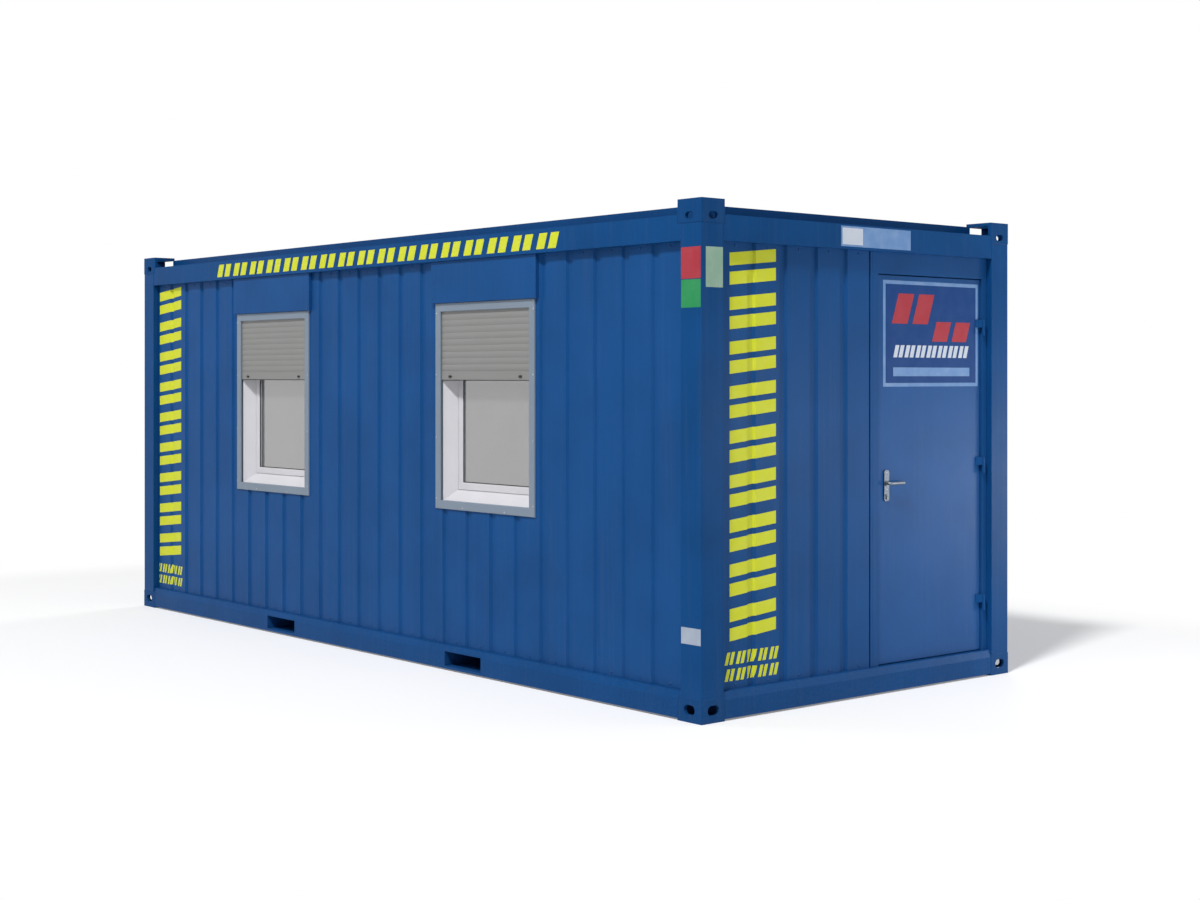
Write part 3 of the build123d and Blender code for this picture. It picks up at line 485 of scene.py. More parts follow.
class Surface(Enum):
    """The finishes of this cabin, each named for what it is and how it was made."""

    # Coil coating is laid on flat sheet, so it is even and satin, with wide soft highlights.
    WALL = CoatedSteel("coil_coated_wall_sheet", "#174C86", roughness=0.38, gloss=0.065)
    # Sprayed over welded profiles: a deeper blue that stays flatter than the sheet.
    FRAME = CoatedSteel("sprayed_frame_enamel", "#0F477F", roughness=0.36, gloss=0.05, wave_mm=0.5)
    # Enamel over a rough casting scatters the light and looks dull.
    CASTING = CoatedSteel("enamelled_cast_steel", "#0E447A", roughness=0.52, gloss=0.06, wave_mm=0.4)
    # Powder coating is smoother and paler, and takes a broad soft reflection.
    DOOR = CoatedSteel("powder_coated_door_sheet", "#1F528E", roughness=0.36, gloss=0.08, wave_mm=0.8)
    # Hot-dip zinc breaks into spangles and has gone grey outdoors.
    ZINC = GalvanisedSteel("galvanised_sheet", "#94989B", roughness=0.62)
    # Fine powder coating on folded trim: a cool, even grey.
    TRIM = CoatedSteel("powder_coated_window_trim", "#808D9C", roughness=0.42, wave_mm=0.2, mottle=0.03)
    # Extruded plastic has a soft shine and faint drag lines along the bar.
    PVC = MouldedPlastic(
        "extruded_white_pvc", "#D4D3D8", roughness=0.30, gloss=0.35, grain_mm=1.2, drag=(30, 1, 30)
    )
    # Roll-formed slats are matt and lined along their length.
    SLATS = MouldedPlastic("foam_filled_shutter_slats", "#888887", roughness=0.5, gloss=0.3, drag=(40, 1, 1))
    # The sun coating mirrors the pale surround and greys the room behind.
    GLASS = FloatGlass("coated_float_glass", "#B2B2B3", roughness=0.05)
    # Printed chips under a matt wear layer, mid grey as a whole.
    FLOOR = BoardCovering("sheet_vinyl_floor", "#6F747A", roughness=0.5)
    # Paper-faced chipboard is pale, even and only faintly flecked.
    BOARD = BoardCovering(
        "coated_chipboard", "#CFCFCB", roughness=0.45, gloss=0.35, chip="#D3D2CC", chip_mm=9, chips=0.5
    )
    # Moulded strip is whiter than the board that it covers.
    LINING_TRIM = MouldedPlastic("white_lining_strip", "#D6D6D2", roughness=0.4, gloss=0.35)
    # Extruded rubber is near black, dull and dusty. The same near-black block in the lock's keyway is painted
    # shade for the slot.
    RUBBER_AND_KEYWAY_SHADE = MouldedPlastic("epdm_seal_and_keyway_shade", "#17181A", roughness=0.62, gloss=0.3, grain_mm=1.0, dusting=0.2)
    # Satin anodising draws the light out along the lever.
    HANDLE = BrushedMetal("satin_anodised_aluminium", "#7E868F", roughness=0.40)
    # Brushed upright and worn darker round the lever.
    PLATE = BrushedMetal("satin_aluminium_lock_plate", "#5D6672", roughness=0.36, brush=(1, 1, 30))
    # Bright zinc plating gives small pale glints.
    SCREW = GalvanisedSteel("zinc_plated_screw", "#B4B8BE", roughness=0.34, spangle_mm=4)
    # Painted with its sheet, so it shows by its rim only.
    PAINTED_RIVET = CoatedSteel("painted_rivet", "#1A4A84", roughness=0.45)
    # Printed vinyl is flat in colour and cut sharp, and each colour chalks a little paler.
    YELLOW = PrintedFilm("yellow_marking_film", "#D3DA36", chalk="#ECEBA2")
    WHITE = PrintedFilm("white_sign_film", "#C9D2E0")
    GREY_LABEL = PrintedFilm("pale_grey_film", "#A3AFC0")
    PALE_BLUE = PrintedFilm("pale_border_film", "#6C92C4")
    NAVY = PrintedFilm("navy_sign_film", "#123F7C", chalk="#4E74A6")
    RED = PrintedFilm("red_marking_film", "#A93A45", chalk="#D07A80")
    GREEN = PrintedFilm("green_marking_film", "#2F8F57", chalk="#8CC0A0")
    SAGE = PrintedFilm("pale_green_film", "#8FB09C")

    def material(self) -> bpy.types.Material:
        """The node material of this finish, made once."""
        return bpy.data.materials.get(self.value.name) or self.value.build()


# ---- Walls as places, and the shapes that lie on them ----


class Wall(Enum):
    """The four sides, as outward normals."""

    FRONT = (0, -1)
    BACK = (0, 1)
    DOOR_END = (1, 0)
    REAR_END = (-1, 0)

    @property
    def is_end(self) -> bool:
        """Whether it is one of the two short sides."""
        return bool(self.value[0])

    @property
    def outward(self) -> Vector:
        """Outward normal."""
        return Vector((*self.value, 0))

    @property
    def along(self) -> Vector:
        """Direction that runs to the right as someone outside looks at the wall."""
        return Vector((0, 0, 1)).cross(self.outward)


@dataclass(frozen=True)
class Hull:
    """Outer planes of the cabin, from the CAD box."""

    half_length: float
    half_width: float
    height: float

    def reach(self, wall: Wall) -> float:
        """Distance from the cabin's middle to a wall's outer plane."""
        return self.half_length if wall.is_end else self.half_width

    def half_span(self, wall: Wall) -> float:
        """Half the length of a wall's outer plane."""
        return self.half_width if wall.is_end else self.half_length


class WallShape:
    """A mesh laid out on a wall: s runs along it, depth runs inwards from its outer plane, z is height."""

    # A domed head over its washer, from the foot up, as shares of the radius and of the rise.
    HEAD_SECTION = ((1.0, 0.0), (1.0, 0.25), (0.66, 0.35), (0.6, 0.75), (0.35, 0.97))
    HEAD_SIDES = 12
    # Distance between the ripples of a weld bead, and how low and narrow it is between them.
    RIPPLE = 0.006
    TROUGH = 0.72
    NARROWING = 0.15
    # Vertices nearer than this are one.
    SAME_PLACE = 0.00002

    def __init__(self, wall: Wall, hull: Hull) -> None:
        """Start an empty mesh on a wall.

        Args:
            wall: The wall.
            hull: Outer planes of the cabin.
        """
        self.wall = wall
        self.hull = hull
        self.work = bmesh.new()

    def vert(self, s: float, depth: float, z: float) -> bmesh.types.BMVert:
        """Add a vertex at a place on the wall."""
        out = self.wall.outward * (self.hull.reach(self.wall) - depth)
        return self.work.verts.new(self.wall.along * s + out + Vector((0, 0, z)))

    def join(self, rings: Sequence[Sequence[bmesh.types.BMVert]]) -> None:
        """Close the skin between each ring of vertices and the next.

        Args:
            rings: Rings with the same number of vertices.
        """
        for low, high in zip(rings, rings[1:]):
            for k in range(len(low)):
                after = (k + 1) % len(low)
                self.work.faces.new((low[k], low[after], high[after], high[k]))

    def block(self, s: Span, depth: Span, z: Span, bevel: float = 0.001, steps: int = 2) -> WallShape:
        """Add a block with rounded edges.

        Args:
            s: Span along the wall.
            depth: Span inwards.
            z: Span in height.
            bevel: Radius of the edges.
            steps: Steps of the rounding.

        Returns:
            The shape, for the next call.
        """
        corners = [self.vert(a, b, c) for c in z for b in depth for a in s]
        quads = ((0, 1, 3, 2), (4, 6, 7, 5), (0, 4, 5, 1), (2, 3, 7, 6), (0, 2, 6, 4), (1, 5, 7, 3))
        faces = [self.work.faces.new([corners[i] for i in quad]) for quad in quads]
        bmesh.ops.recalc_face_normals(self.work, faces=faces)
        edges = list(dict.fromkeys(edge for face in faces for edge in face.edges))
        rounding = {"offset": bevel, "segments": steps, "profile": 0.5, "clamp_overlap": True}
        bmesh.ops.bevel(self.work, geom=edges, affect="EDGES", **rounding)
        return self

    def stud(self, s: float, z: float, depth: float, head: Head) -> WallShape:
        """Add a domed screw or rivet head with a flat washer under it.

        Args:
            s: Place along the wall.
            z: Height.
            depth: Depth of the sheet that it sits on.
            head: Its size.

        Returns:
            The shape, for the next call.
        """
        radius, rise = head
        turns = [2 * math.pi * k / self.HEAD_SIDES for k in range(self.HEAD_SIDES)]
        rings = []
        for share, out in self.HEAD_SECTION:
            ring = [(s + radius * share * math.cos(t), z + radius * share * math.sin(t)) for t in turns]
            rings.append([self.vert(a, depth - rise * out, b) for a, b in ring])
        tip = self.vert(s, depth - rise, z)
        self.join(rings)
        for k in range(self.HEAD_SIDES):
            self.work.faces.new((rings[-1][k], rings[-1][(k + 1) % self.HEAD_SIDES], tip))
        self.work.faces.new(rings[0])
        return self

    def moulding(self, s: float, z: float, size: Size, inset: Span, depth: Span, radius: float) -> WallShape:
        """Run a bar round a rectangle, mitred at its corners and rounded on its outer face.

        Args:
            s: Middle of the rectangle along the wall.
            z: Its middle height.
            size: Its width and height.
            inset: Span of the bar in from the rectangle.
            depth: Its span inwards, outer face first.
            radius: Radius of its two outer edges.

        Returns:
            The shape, for the next call.
        """
        near, far = inset
        section = [(near, depth[1])]
        for centre, start in ((near + radius, 180), (far - radius, 270)):
            for angle in (math.radians(start + step) for step in (0, 30, 60, 90)):
                out = radius + radius * math.sin(angle)
                section.append((centre + radius * math.cos(angle), depth[0] + out))
        section.append((far, depth[1]))
        rings = []
        for side_s, side_z in ((-1, -1), (1, -1), (1, 1), (-1, 1)):
            ring = [(s + side_s * (size[0] / 2 - a), b, z + side_z * (size[1] / 2 - a)) for a, b in section]
            rings.append([self.vert(*place) for place in ring])
        self.join(rings + rings[:1])
        return self

    def board(self, s: Span, depth: Span, z: Span, holes: Sequence[Area]) -> WallShape:
        """Add a flat board with rectangular holes.

        Args:
            s: Span along the wall.
            depth: Span inwards.
            z: Span in height.
            holes: Spans along the wall and in height of each hole.

        Returns:
            The shape, for the next call.
        """
        across = sorted({*s, *(edge for hole in holes for edge in hole[0])})
        up = sorted({*z, *(edge for hole in holes for edge in hole[1])})
        flat = bmesh.new()
        grid = {(a, b): flat.verts.new((a, 0, b)) for a in across for b in up}
        for a, a_next in zip(across, across[1:]):
            for b, b_next in zip(up, up[1:]):
                middle = ((a + a_next) / 2, (b + b_next) / 2)
                if not any(h[0][0] < middle[0] < h[0][1] and h[1][0] < middle[1] < h[1][1] for h in holes):
                    corners = ((a, b), (a_next, b), (a_next, b_next), (a, b_next))
                    flat.faces.new([grid[corner] for corner in corners])
        return self.thicken(flat, lambda _: depth[1], depth[1] - depth[0])

    def thicken(
        self, flat: bmesh.types.BMesh, back: Callable[[float], float], thickness: float
    ) -> WallShape:
        """Thicken a flat pattern outwards from its back, and let go of it.

        Args:
            flat: Pattern with places along the wall as X and heights as Z.
            back: Gives the depth of the back at a place along the wall.
            thickness: How far the front stands out from the back.

        Returns:
            The shape, for the next call.
        """
        for face in flat.faces:
            backs, fronts = [], []
            for vert in face.verts:
                behind = back(vert.co.x)
                backs.append(self.vert(vert.co.x, behind, vert.co.z))
                fronts.append(self.vert(vert.co.x, behind - thickness, vert.co.z))
            self.work.faces.new(fronts)
            self.work.faces.new(backs[::-1])
            for k, loop in enumerate(face.loops):
                # An edge with one face is a cut edge, and one with two is only a fold or a joint.
                if len(loop.edge.link_faces) == 1:
                    after = (k + 1) % len(backs)
                    self.work.faces.new((backs[k], backs[after], fronts[after], fronts[k]))
        flat.free()
        bmesh.ops.remove_doubles(self.work, verts=self.work.verts[:], dist=self.SAME_PLACE)
        return self

    def bead(self, start: Place, end: Place, depth: float, width: float, rise: float) -> WallShape:
        """Lay a weld bead with its ripples between two places.

        Args:
            start: Place along the wall and height where it starts.
            end: Where it ends.
            depth: Depth of the sheet.
            width: Width of the bead.
            rise: How far it stands out.

        Returns:
            The shape, for the next call.
        """
        run = Vector((end[0] - start[0], end[1] - start[1]))
        across = Vector((-run.y, run.x)).normalized() * width / 2
        count = max(2, round(run.length / self.RIPPLE)) * 2
        rings = []
        for index in range(count + 1):
            middle = Vector(start) + run * (index / count)
            swell = 1.0 if index % 2 else self.TROUGH
            ring = []
            for turn in (0.0, 0.25, 0.5, 0.75, 1.0):
                side = math.cos(math.pi * turn) * (1 - self.NARROWING + self.NARROWING * swell)
                place = middle + across * side
                ring.append(self.vert(place.x, depth - rise * swell * math.sin(math.pi * turn), place.y))
            rings.append(ring)
        self.join(rings)
        self.work.faces.new(rings[0])
        self.work.faces.new(rings[-1])
        return self

    def film(self, outlines: Sequence[Outline], sheet: RibbedFace | float) -> WallShape:
        """Cut film to outlines and lay it over a sheet.

        Args:
            outlines: Outlines of the cut shapes, as places along the wall and heights.
            sheet: The ribbed face that it follows, or the depth of a flat one.

        Returns:
            The shape, for the next call.
        """
        flat = bmesh.new()
        for outline in outlines:
            flat.faces.new([flat.verts.new((s, 0, z)) for s, z in outline])
        low = min(s for outline in outlines for s, _ in outline)
        high = max(s for outline in outlines for s, _ in outline)
        ribbed = isinstance(sheet, RibbedFace)
        for place in sheet.folds() if ribbed else ():
            if low < place < high:
                geometry = flat.verts[:] + flat.edges[:] + flat.faces[:]
                bmesh.ops.bisect_plane(flat, geom=geometry, plane_co=(place, 0, 0), plane_no=(1, 0, 0))
        # The back stands off the sheet by a quarter of the film, so that the two never fight.
        gap = FILM_THICKNESS / 4
        return self.thicken(flat, lambda s: (sheet.depth(s) if ribbed else sheet) - gap, FILM_THICKNESS)

    def mesh(self, name: str, smooth: bool) -> bpy.types.Mesh:
        """Close the shape into a mesh.

        Args:
            name: Mesh name.
            smooth: Whether faces are smooth shaded.

        Returns:
            The mesh.
        """
        bmesh.ops.recalc_face_normals(self.work, faces=self.work.faces[:])
        for face in self.work.faces:
            face.smooth = smooth
        mesh = bpy.data.meshes.new(name)
        self.work.to_mesh(mesh)
        self.work.free()
        return mesh


@dataclass(frozen=True)
class RibbedFace:
    """Outer face of the ribbed panels along one wall: its depth and where it is folded."""

    first_groove: float
    last_groove: float
    face: float = 0.0375
    pitch: float = 0.230
    groove_width: float = 0.060
    groove_bottom: float = 0.036
    groove_depth: float = 0.012

    def folds(self) -> list[float]:
        """Places along the wall where the sheet is folded."""
        top, bottom = self.groove_width / 2, self.groove_bottom / 2
        return [groove + half for groove in self.grooves() for half in (-top, -bottom, bottom, top)]

    def grooves(self) -> list[float]:
        """Middles of the grooves."""
        count = round((self.last_groove - self.first_groove) / self.pitch)
        return [self.first_groove + index * self.pitch for index in range(count + 1)]

    def crests(self) -> list[float]:
        """Middles of the ribs between the grooves."""
        return [groove + self.pitch / 2 for groove in self.grooves()[:-1]]

    def depth(self, s: float) -> float:
        """Depth of the sheet behind the outer plane.

        Args:
            s: Place along the wall.

        Returns:
            The depth there, on a rib, in a groove or on the flank between.
        """
        nearest = self.first_groove + round((s - self.first_groove) / self.pitch) * self.pitch
        away = abs(s - nearest)
        slope = (self.groove_width / 2 - away) / (self.groove_width / 2 - self.groove_bottom / 2)
        return self.face + self.groove_depth * min(1.0, max(0.0, slope))


@dataclass(frozen=True)
class SlantedBars:
    """How a run of slanted bars in pairs is cut, as on plain safety marking."""

    pairs: int
    # Share of a pair's pitch that its two bars fill.
    fill: float
    # Rise or lean of a bar, as a share of the run's width.
    slant: float
    # Whether the run climbs the wall; otherwise it runs along it.
    upright: bool = False
    # Share of a pair's pitch between its two bars.
    gap: float = 0.14

    def cut(self, s: Span, z: Span) -> list[list[Place]]:
        """Cut the run to a place on a wall.

        Args:
            s: Span along the wall.
            z: Span in height.

        Returns:
            The bars' outlines.
        """
        (first, last), (near, far) = (z, s) if self.upright else (s, z)
        lean = (far - near) * self.slant
        pitch = (last - first - lean) / self.pairs
        width = pitch * self.fill / 2
        bars = []
        for pair in range(self.pairs):
            for second in (0, 1):
                foot = first + pitch * (pair + second * (self.fill / 2 + self.gap))
                bar = ((foot, near), (foot + lean, far), (foot + lean + width, far), (foot + width, near))
                bars.append([(b, a) if self.upright else (a, b) for a, b in bar])
        return bars


def rectangle(s: Span, z: Span) -> list[Place]:
    """Outline of an upright rectangle on a wall."""
    return [(s[0], z[0]), (s[1], z[0]), (s[1], z[1]), (s[0], z[1])]


# ---- Sub-assemblies ----


@dataclass
class SubAssembly:
    """Part of the cabin that dresses its own CAD nodes and adds its own fine pieces."""

    nodes: dict[str, bpy.types.Object]
    hull: Hull

    def dress(self, surface: Surface, *names: str) -> None:
        """Give whole nodes one finish.

        Args:
            surface: The finish.
            *names: Names of the CAD nodes.
        """
        material = surface.material()
        for name in names:
            node = self.nodes[name]
            if not node.material_slots:
                node.data.materials.append(material)
            for slot in node.material_slots:
                slot.material = material

    def on(self, wall: Wall) -> WallShape:
        """Start a shape on a wall."""
        return WallShape(wall, self.hull)

    def add(
        self, name: str, shape: WallShape, surface: Surface, slot: str, body: str = CABIN,
        smooth: bool = False,
    ) -> None:
        """Link a shape as a finished piece.

        Args:
            name: Piece name.
            shape: Its shape.
            surface: Its finish.
            slot: The record's material slot that it belongs to; not used.
            body: The CAD body that it rides on.
            smooth: Whether it is smooth shaded.
        """
        mesh = shape.mesh(name, smooth)
        piece = bpy.data.objects.new(name, mesh)
        bpy.context.scene.collection.objects.link(piece)
        piece.data.materials.append(surface.material())
        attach(piece, body)
        LOG.info("piece %s: %d faces on %s", name, len(mesh.polygons), body)


@dataclass
class SteelFrame(SubAssembly):
    """Posts, rails, castings and fork pockets, with the weld beads and the film on them."""

    setback: float = 0.002
    post: float = 0.1525
    casting_height: float = 0.118
    bead_width: float = 0.007
    bead_rise: float = 0.0017
    bead_inset: float = 0.008
    rail_joints: tuple[Span, Span] = ((0.121, 0.142), (2.389, 2.470))
    rail_bars: Area = ((-1.895, 1.968), (2.404, 2.490))
    rail_cut: SlantedBars = SlantedBars(pairs=17, fill=0.62, slant=0.35)
    post_flat: Span = (2.8785, 3.0195)

    def build(self) -> None:
        """Make the frame's pieces."""
        self.paint()
        self.weld()
        self.mark()

    def paint(self) -> None:
        """Enamel the frame."""
        frame = [name for name in self.nodes if name.startswith("corner_post") or "_rail_" in name]
        self.dress(Surface.FRAME, "fork_pockets", *frame)
        self.dress(Surface.CASTING, "bottom_castings", "top_castings")

    def weld(self) -> None:
        """Run beads where posts meet castings and rails meet posts."""
        for wall in Wall:
            shape = self.on(wall)
            edge = self.hull.half_span(wall)
            for side in (-1, 1):
                outer, inner = side * (edge - self.bead_inset), side * (edge - self.post)
                for z in (self.casting_height, self.hull.height - self.casting_height):
                    shape.bead((inner, z), (outer, z), self.setback, self.bead_width, self.bead_rise)
                for low, high in self.rail_joints:
                    shape.bead((inner, low), (inner, high), self.setback, self.bead_width, self.bead_rise)
            self.add(f"weld_beads_{wall.name.lower()}", shape, Surface.FRAME, "frame_paint", smooth=True)

    def mark(self) -> None:
        """Lay the film and the blank plates that the frame carries."""
        film = self.on(Wall.FRONT).film(self.rail_cut.cut(*self.rail_bars), self.setback)
        self.add("marking_top_rail", film, Surface.YELLOW, "frame_paint")
        for name, wall, s, z, layer, surface in (
            ("patch_red", Wall.FRONT, self.post_flat, (2.194, 2.351), 0, Surface.RED),
            ("patch_green", Wall.FRONT, self.post_flat, (2.051, 2.190), 0, Surface.GREEN),
            ("patch_pale_low", Wall.FRONT, self.post_flat, (0.386, 0.468), 0, Surface.GREY_LABEL),
            ("patch_sage", Wall.DOOR_END, (-1.187, -1.071), (2.151, 2.351), 0, Surface.SAGE),
            ("rail_plate", Wall.DOOR_END, (-0.205, 0.355), (2.398, 2.506), 0, Surface.PALE_BLUE),
            ("rail_plate_field", Wall.DOOR_END, (-0.195, -0.035), (2.408, 2.496), 1, Surface.WHITE),
        ):
            film = self.on(wall).film([rectangle(s, z)], self.setback - layer * FILM_LAYER)
            self.add(name, film, surface, "frame_paint")


@dataclass
class FloorAndRoof(SubAssembly):
    """Galvanised underfloor and roof, with the floor covering and the ceiling board."""

    def build(self) -> None:
        """Give each layer its sheet or board finish."""
        self.dress(Surface.ZINC, "underfloor_sheet", "roof_sheet", "floor_crossbeams")
        self.dress(Surface.FLOOR, "floor_board")
        self.dress(Surface.BOARD, "ceiling_board")


@dataclass
class WallPanels(SubAssembly):
    """Ribbed sandwich panels, with the rivets along them and the marking film on them."""

    # First and last groove of each wall.
    grooves: tuple[tuple[Wall, Span], ...] = (
        (Wall.FRONT, (-2.875, 2.875)), (Wall.BACK, (-2.875, 2.875)),
        (Wall.DOOR_END, (-1.065, 0.085)), (Wall.REAR_END, (-1.065, 1.005)),
    )
    rivet_head: Head = (0.0065, 0.0035)
    rivet_rows: tuple[float, float] = (0.166, 2.366)
    head_cover_half: float = 0.52
    column_height: Span = (0.385, 2.425)
    column_cut: SlantedBars = SlantedBars(pairs=9, fill=0.58, slant=0.10, upright=True)
    columns: tuple[tuple[Wall, Span], ...] = (
        (Wall.DOOR_END, (-0.990, -0.660)), (Wall.FRONT, (-2.840, -2.505)),
    )
    fine_cut: SlantedBars = SlantedBars(pairs=5, fill=0.56, slant=0.3)
    fine_rows: tuple[Span, Span] = ((0.268, 0.330), (0.186, 0.246))
    fine_overhang: tuple[float, float] = (0.035, 0.045)
    joint: tuple[Span, Span, Span] = ((0.0672, 0.0848), (0.0379, 0.0493), (0.1460, 2.3845))

    def build(self) -> None:
        """Enamel the outer sheets, then rivet, seal and mark them."""
        names = [name for name in self.nodes if "panel" in name or name.startswith("window_head_cover")]
        self.dress(Surface.WALL, *names)
        faces = {wall: RibbedFace(*ends) for wall, ends in self.grooves}
        for wall, face in faces.items():
            self.rivet(wall, face)
        self.fill_joint()
        for wall, s in self.columns:
            self.mark(wall, faces[wall], s)

    def rivet(self, wall: Wall, face: RibbedFace) -> None:
        """Set a painted rivet in each rib at the sill and, outside the window head covers, at the head.

        Args:
            wall: The wall it is on.
            face: The ribbed face it follows.
        """
        shape = self.on(wall)
        for s in face.crests():
            for z in self.rivet_rows:
                covered = wall is Wall.FRONT and abs(abs(s) - WINDOW_MIDDLE) < self.head_cover_half
                if z == self.rivet_rows[0] or not covered:
                    shape.stud(s, z, face.depth(s), self.rivet_head)
        self.add(f"panel_rivets_{wall.name.lower()}", shape, Surface.PAINTED_RIVET, "wall_paint", smooth=True)

    def fill_joint(self) -> None:
        """Fill the half groove beside the door frame with a flush bead of wall-coloured sealant."""
        shape = self.on(Wall.DOOR_END).block(*self.joint)
        self.add("door_joint_sealant", shape, Surface.WALL, "wall_paint")

    def mark(self, wall: Wall, face: RibbedFace, s: Span) -> None:
        """Lay a column of yellow marking film, with two fine rows below it.

        Args:
            wall: The wall it is on.
            face: The ribbed face it follows.
            s: Its span along the wall.
        """
        bars = self.column_cut.cut(s, self.column_height)
        wide = (s[0] - self.fine_overhang[0], s[1] + self.fine_overhang[1])
        for row in self.fine_rows:
            bars += self.fine_cut.cut(wide, row)
        shape = self.on(wall).film(bars, face)
        self.add(f"marking_column_{wall.name.lower()}", shape, Surface.YELLOW, "wall_paint")


@dataclass
class ShutteredWindow(SubAssembly):
    """One window: trim, frame, sash, glass and half-lowered shutter, with its seals and screws."""

    side: str = "left"
    middle: float = 0.0
    centre_height: float = 1.5375
    trim_size: Size = (0.945, 1.205)
    trim_face: float = 0.0275
    screw_inset: float = 0.012
    screw_rows: tuple[float, ...] = (-0.92, -0.31, 0.31, 0.92)
    foot_screw: float = 0.2
    trim_head: Head = (0.005, 0.0025)
    cover_face: float = 0.0155
    cover_half: float = 0.482
    cover_screws: tuple[float, ...] = (2.165, 2.262, 2.362)
    cover_head: Head = (0.0055, 0.0028)
    gasket_edge: Size = (0.635, 0.895)
    gasket_inset: Span = (-0.001, 0.005)
    gasket_rise: float = 0.0035
    gasket_radii: tuple[float, float] = (0.0024, 0.0012)
    glass_depth: float = 0.122
    glass_back: float = 0.146
    stop_reach: float = 0.335
    stop_half: float = 0.013
    stop_section: tuple[Span, Span] = ((0.0325, 0.0395), (1.704, 1.717))
    stop_edge: float = 0.003
    lip_half: float = 0.419
    lip_section: tuple[Span, Span] = ((0.0415, 0.0455), (1.6868, 1.6912))
    lever_face: float = 0.168
    lever_reach: float = 0.359
    # Rose, neck and grip of the lever: half its width, spans in depth and height, edge radius and its steps.
    lever_parts: tuple[tuple[float, Span, Span, float, int], ...] = (
        (0.015, (-0.0185, -0.009), (-0.055, 0.055), 0.004, 2),
        (0.008, (-0.010, 0.030), (-0.010, 0.006), 0.004, 2),
        (0.009, (0.022, 0.036), (-0.125, 0.008), 0.005, 3),
    )

    def build(self) -> None:
        """Dress the window's own nodes and fit its small parts."""
        side = self.side
        self.dress(Surface.TRIM, f"window_trim_{side}")
        self.dress(Surface.PVC, f"window_frame_{side}", f"window_sash_{side}", f"shutter_box_{side}")
        self.dress(Surface.GLASS, f"window_glass_{side}")
        self.dress(Surface.SLATS, f"shutter_curtain_{side}")
        self.seal()
        self.fasten()
        self.stop_curtain()
        self.add_inner_lever()

    def seal(self) -> None:
        """Press a glazing gasket round both faces of the pane."""
        shape = self.on(Wall.FRONT)
        outer = (self.glass_depth - self.gasket_rise, self.glass_depth)
        inner = (self.glass_back, self.glass_back + self.gasket_rise)
        place = (self.middle, self.centre_height, self.gasket_edge, self.gasket_inset)
        for depth, radius in zip((outer, inner), self.gasket_radii):
            shape.moulding(*place, depth, radius)
        self.add(f"glazing_gasket_{self.side}", shape, Surface.RUBBER_AND_KEYWAY_SHADE, "window_profile")

    def fasten(self) -> None:
        """Screw the trim to the wall and the head cover to the sheet."""
        trim, cover = self.on(Wall.FRONT), self.on(Wall.FRONT)
        reach_s, reach_z = (size / 2 - self.screw_inset for size in self.trim_size)
        for side in (-1, 1):
            places = [(side * reach_s, row * reach_z) for row in self.screw_rows]
            for s, z in (*places, (side * self.foot_screw, -reach_z)):
                trim.stud(self.middle + s, self.centre_height + z, self.trim_face, self.trim_head)
            for z in self.cover_screws:
                cover.stud(self.middle + side * self.cover_half, z, self.cover_face, self.cover_head)
        self.add(f"trim_screws_{self.side}", trim, Surface.SCREW, "trim_paint", smooth=True)
        self.add(f"head_cover_screws_{self.side}", cover, Surface.PAINTED_RIVET, "wall_paint", smooth=True)

    def stop_curtain(self) -> None:
        """Fit two rubber stops and a lip seal on the end slat."""
        shape = self.on(Wall.FRONT)
        for s in (self.middle - self.stop_reach, self.middle + self.stop_reach):
            shape.block((s - self.stop_half, s + self.stop_half), *self.stop_section, self.stop_edge)
        shape.block((self.middle - self.lip_half, self.middle + self.lip_half), *self.lip_section)
        self.add(f"shutter_stops_{self.side}", shape, Surface.RUBBER_AND_KEYWAY_SHADE, "shutter_slats")

    def add_inner_lever(self) -> None:
        """Set the sash's white lever on its room side: rose, neck and grip."""
        s, face, z = self.middle + self.lever_reach, self.lever_face, self.centre_height
        shape = self.on(Wall.FRONT)
        for half, (near, far), (low, high), edge, steps in self.lever_parts:
            shape.block((s - half, s + half), (face + near, face + far), (z + low, z + high), edge, steps)
        self.add(f"sash_lever_{self.side}", shape, Surface.PVC, "window_profile")


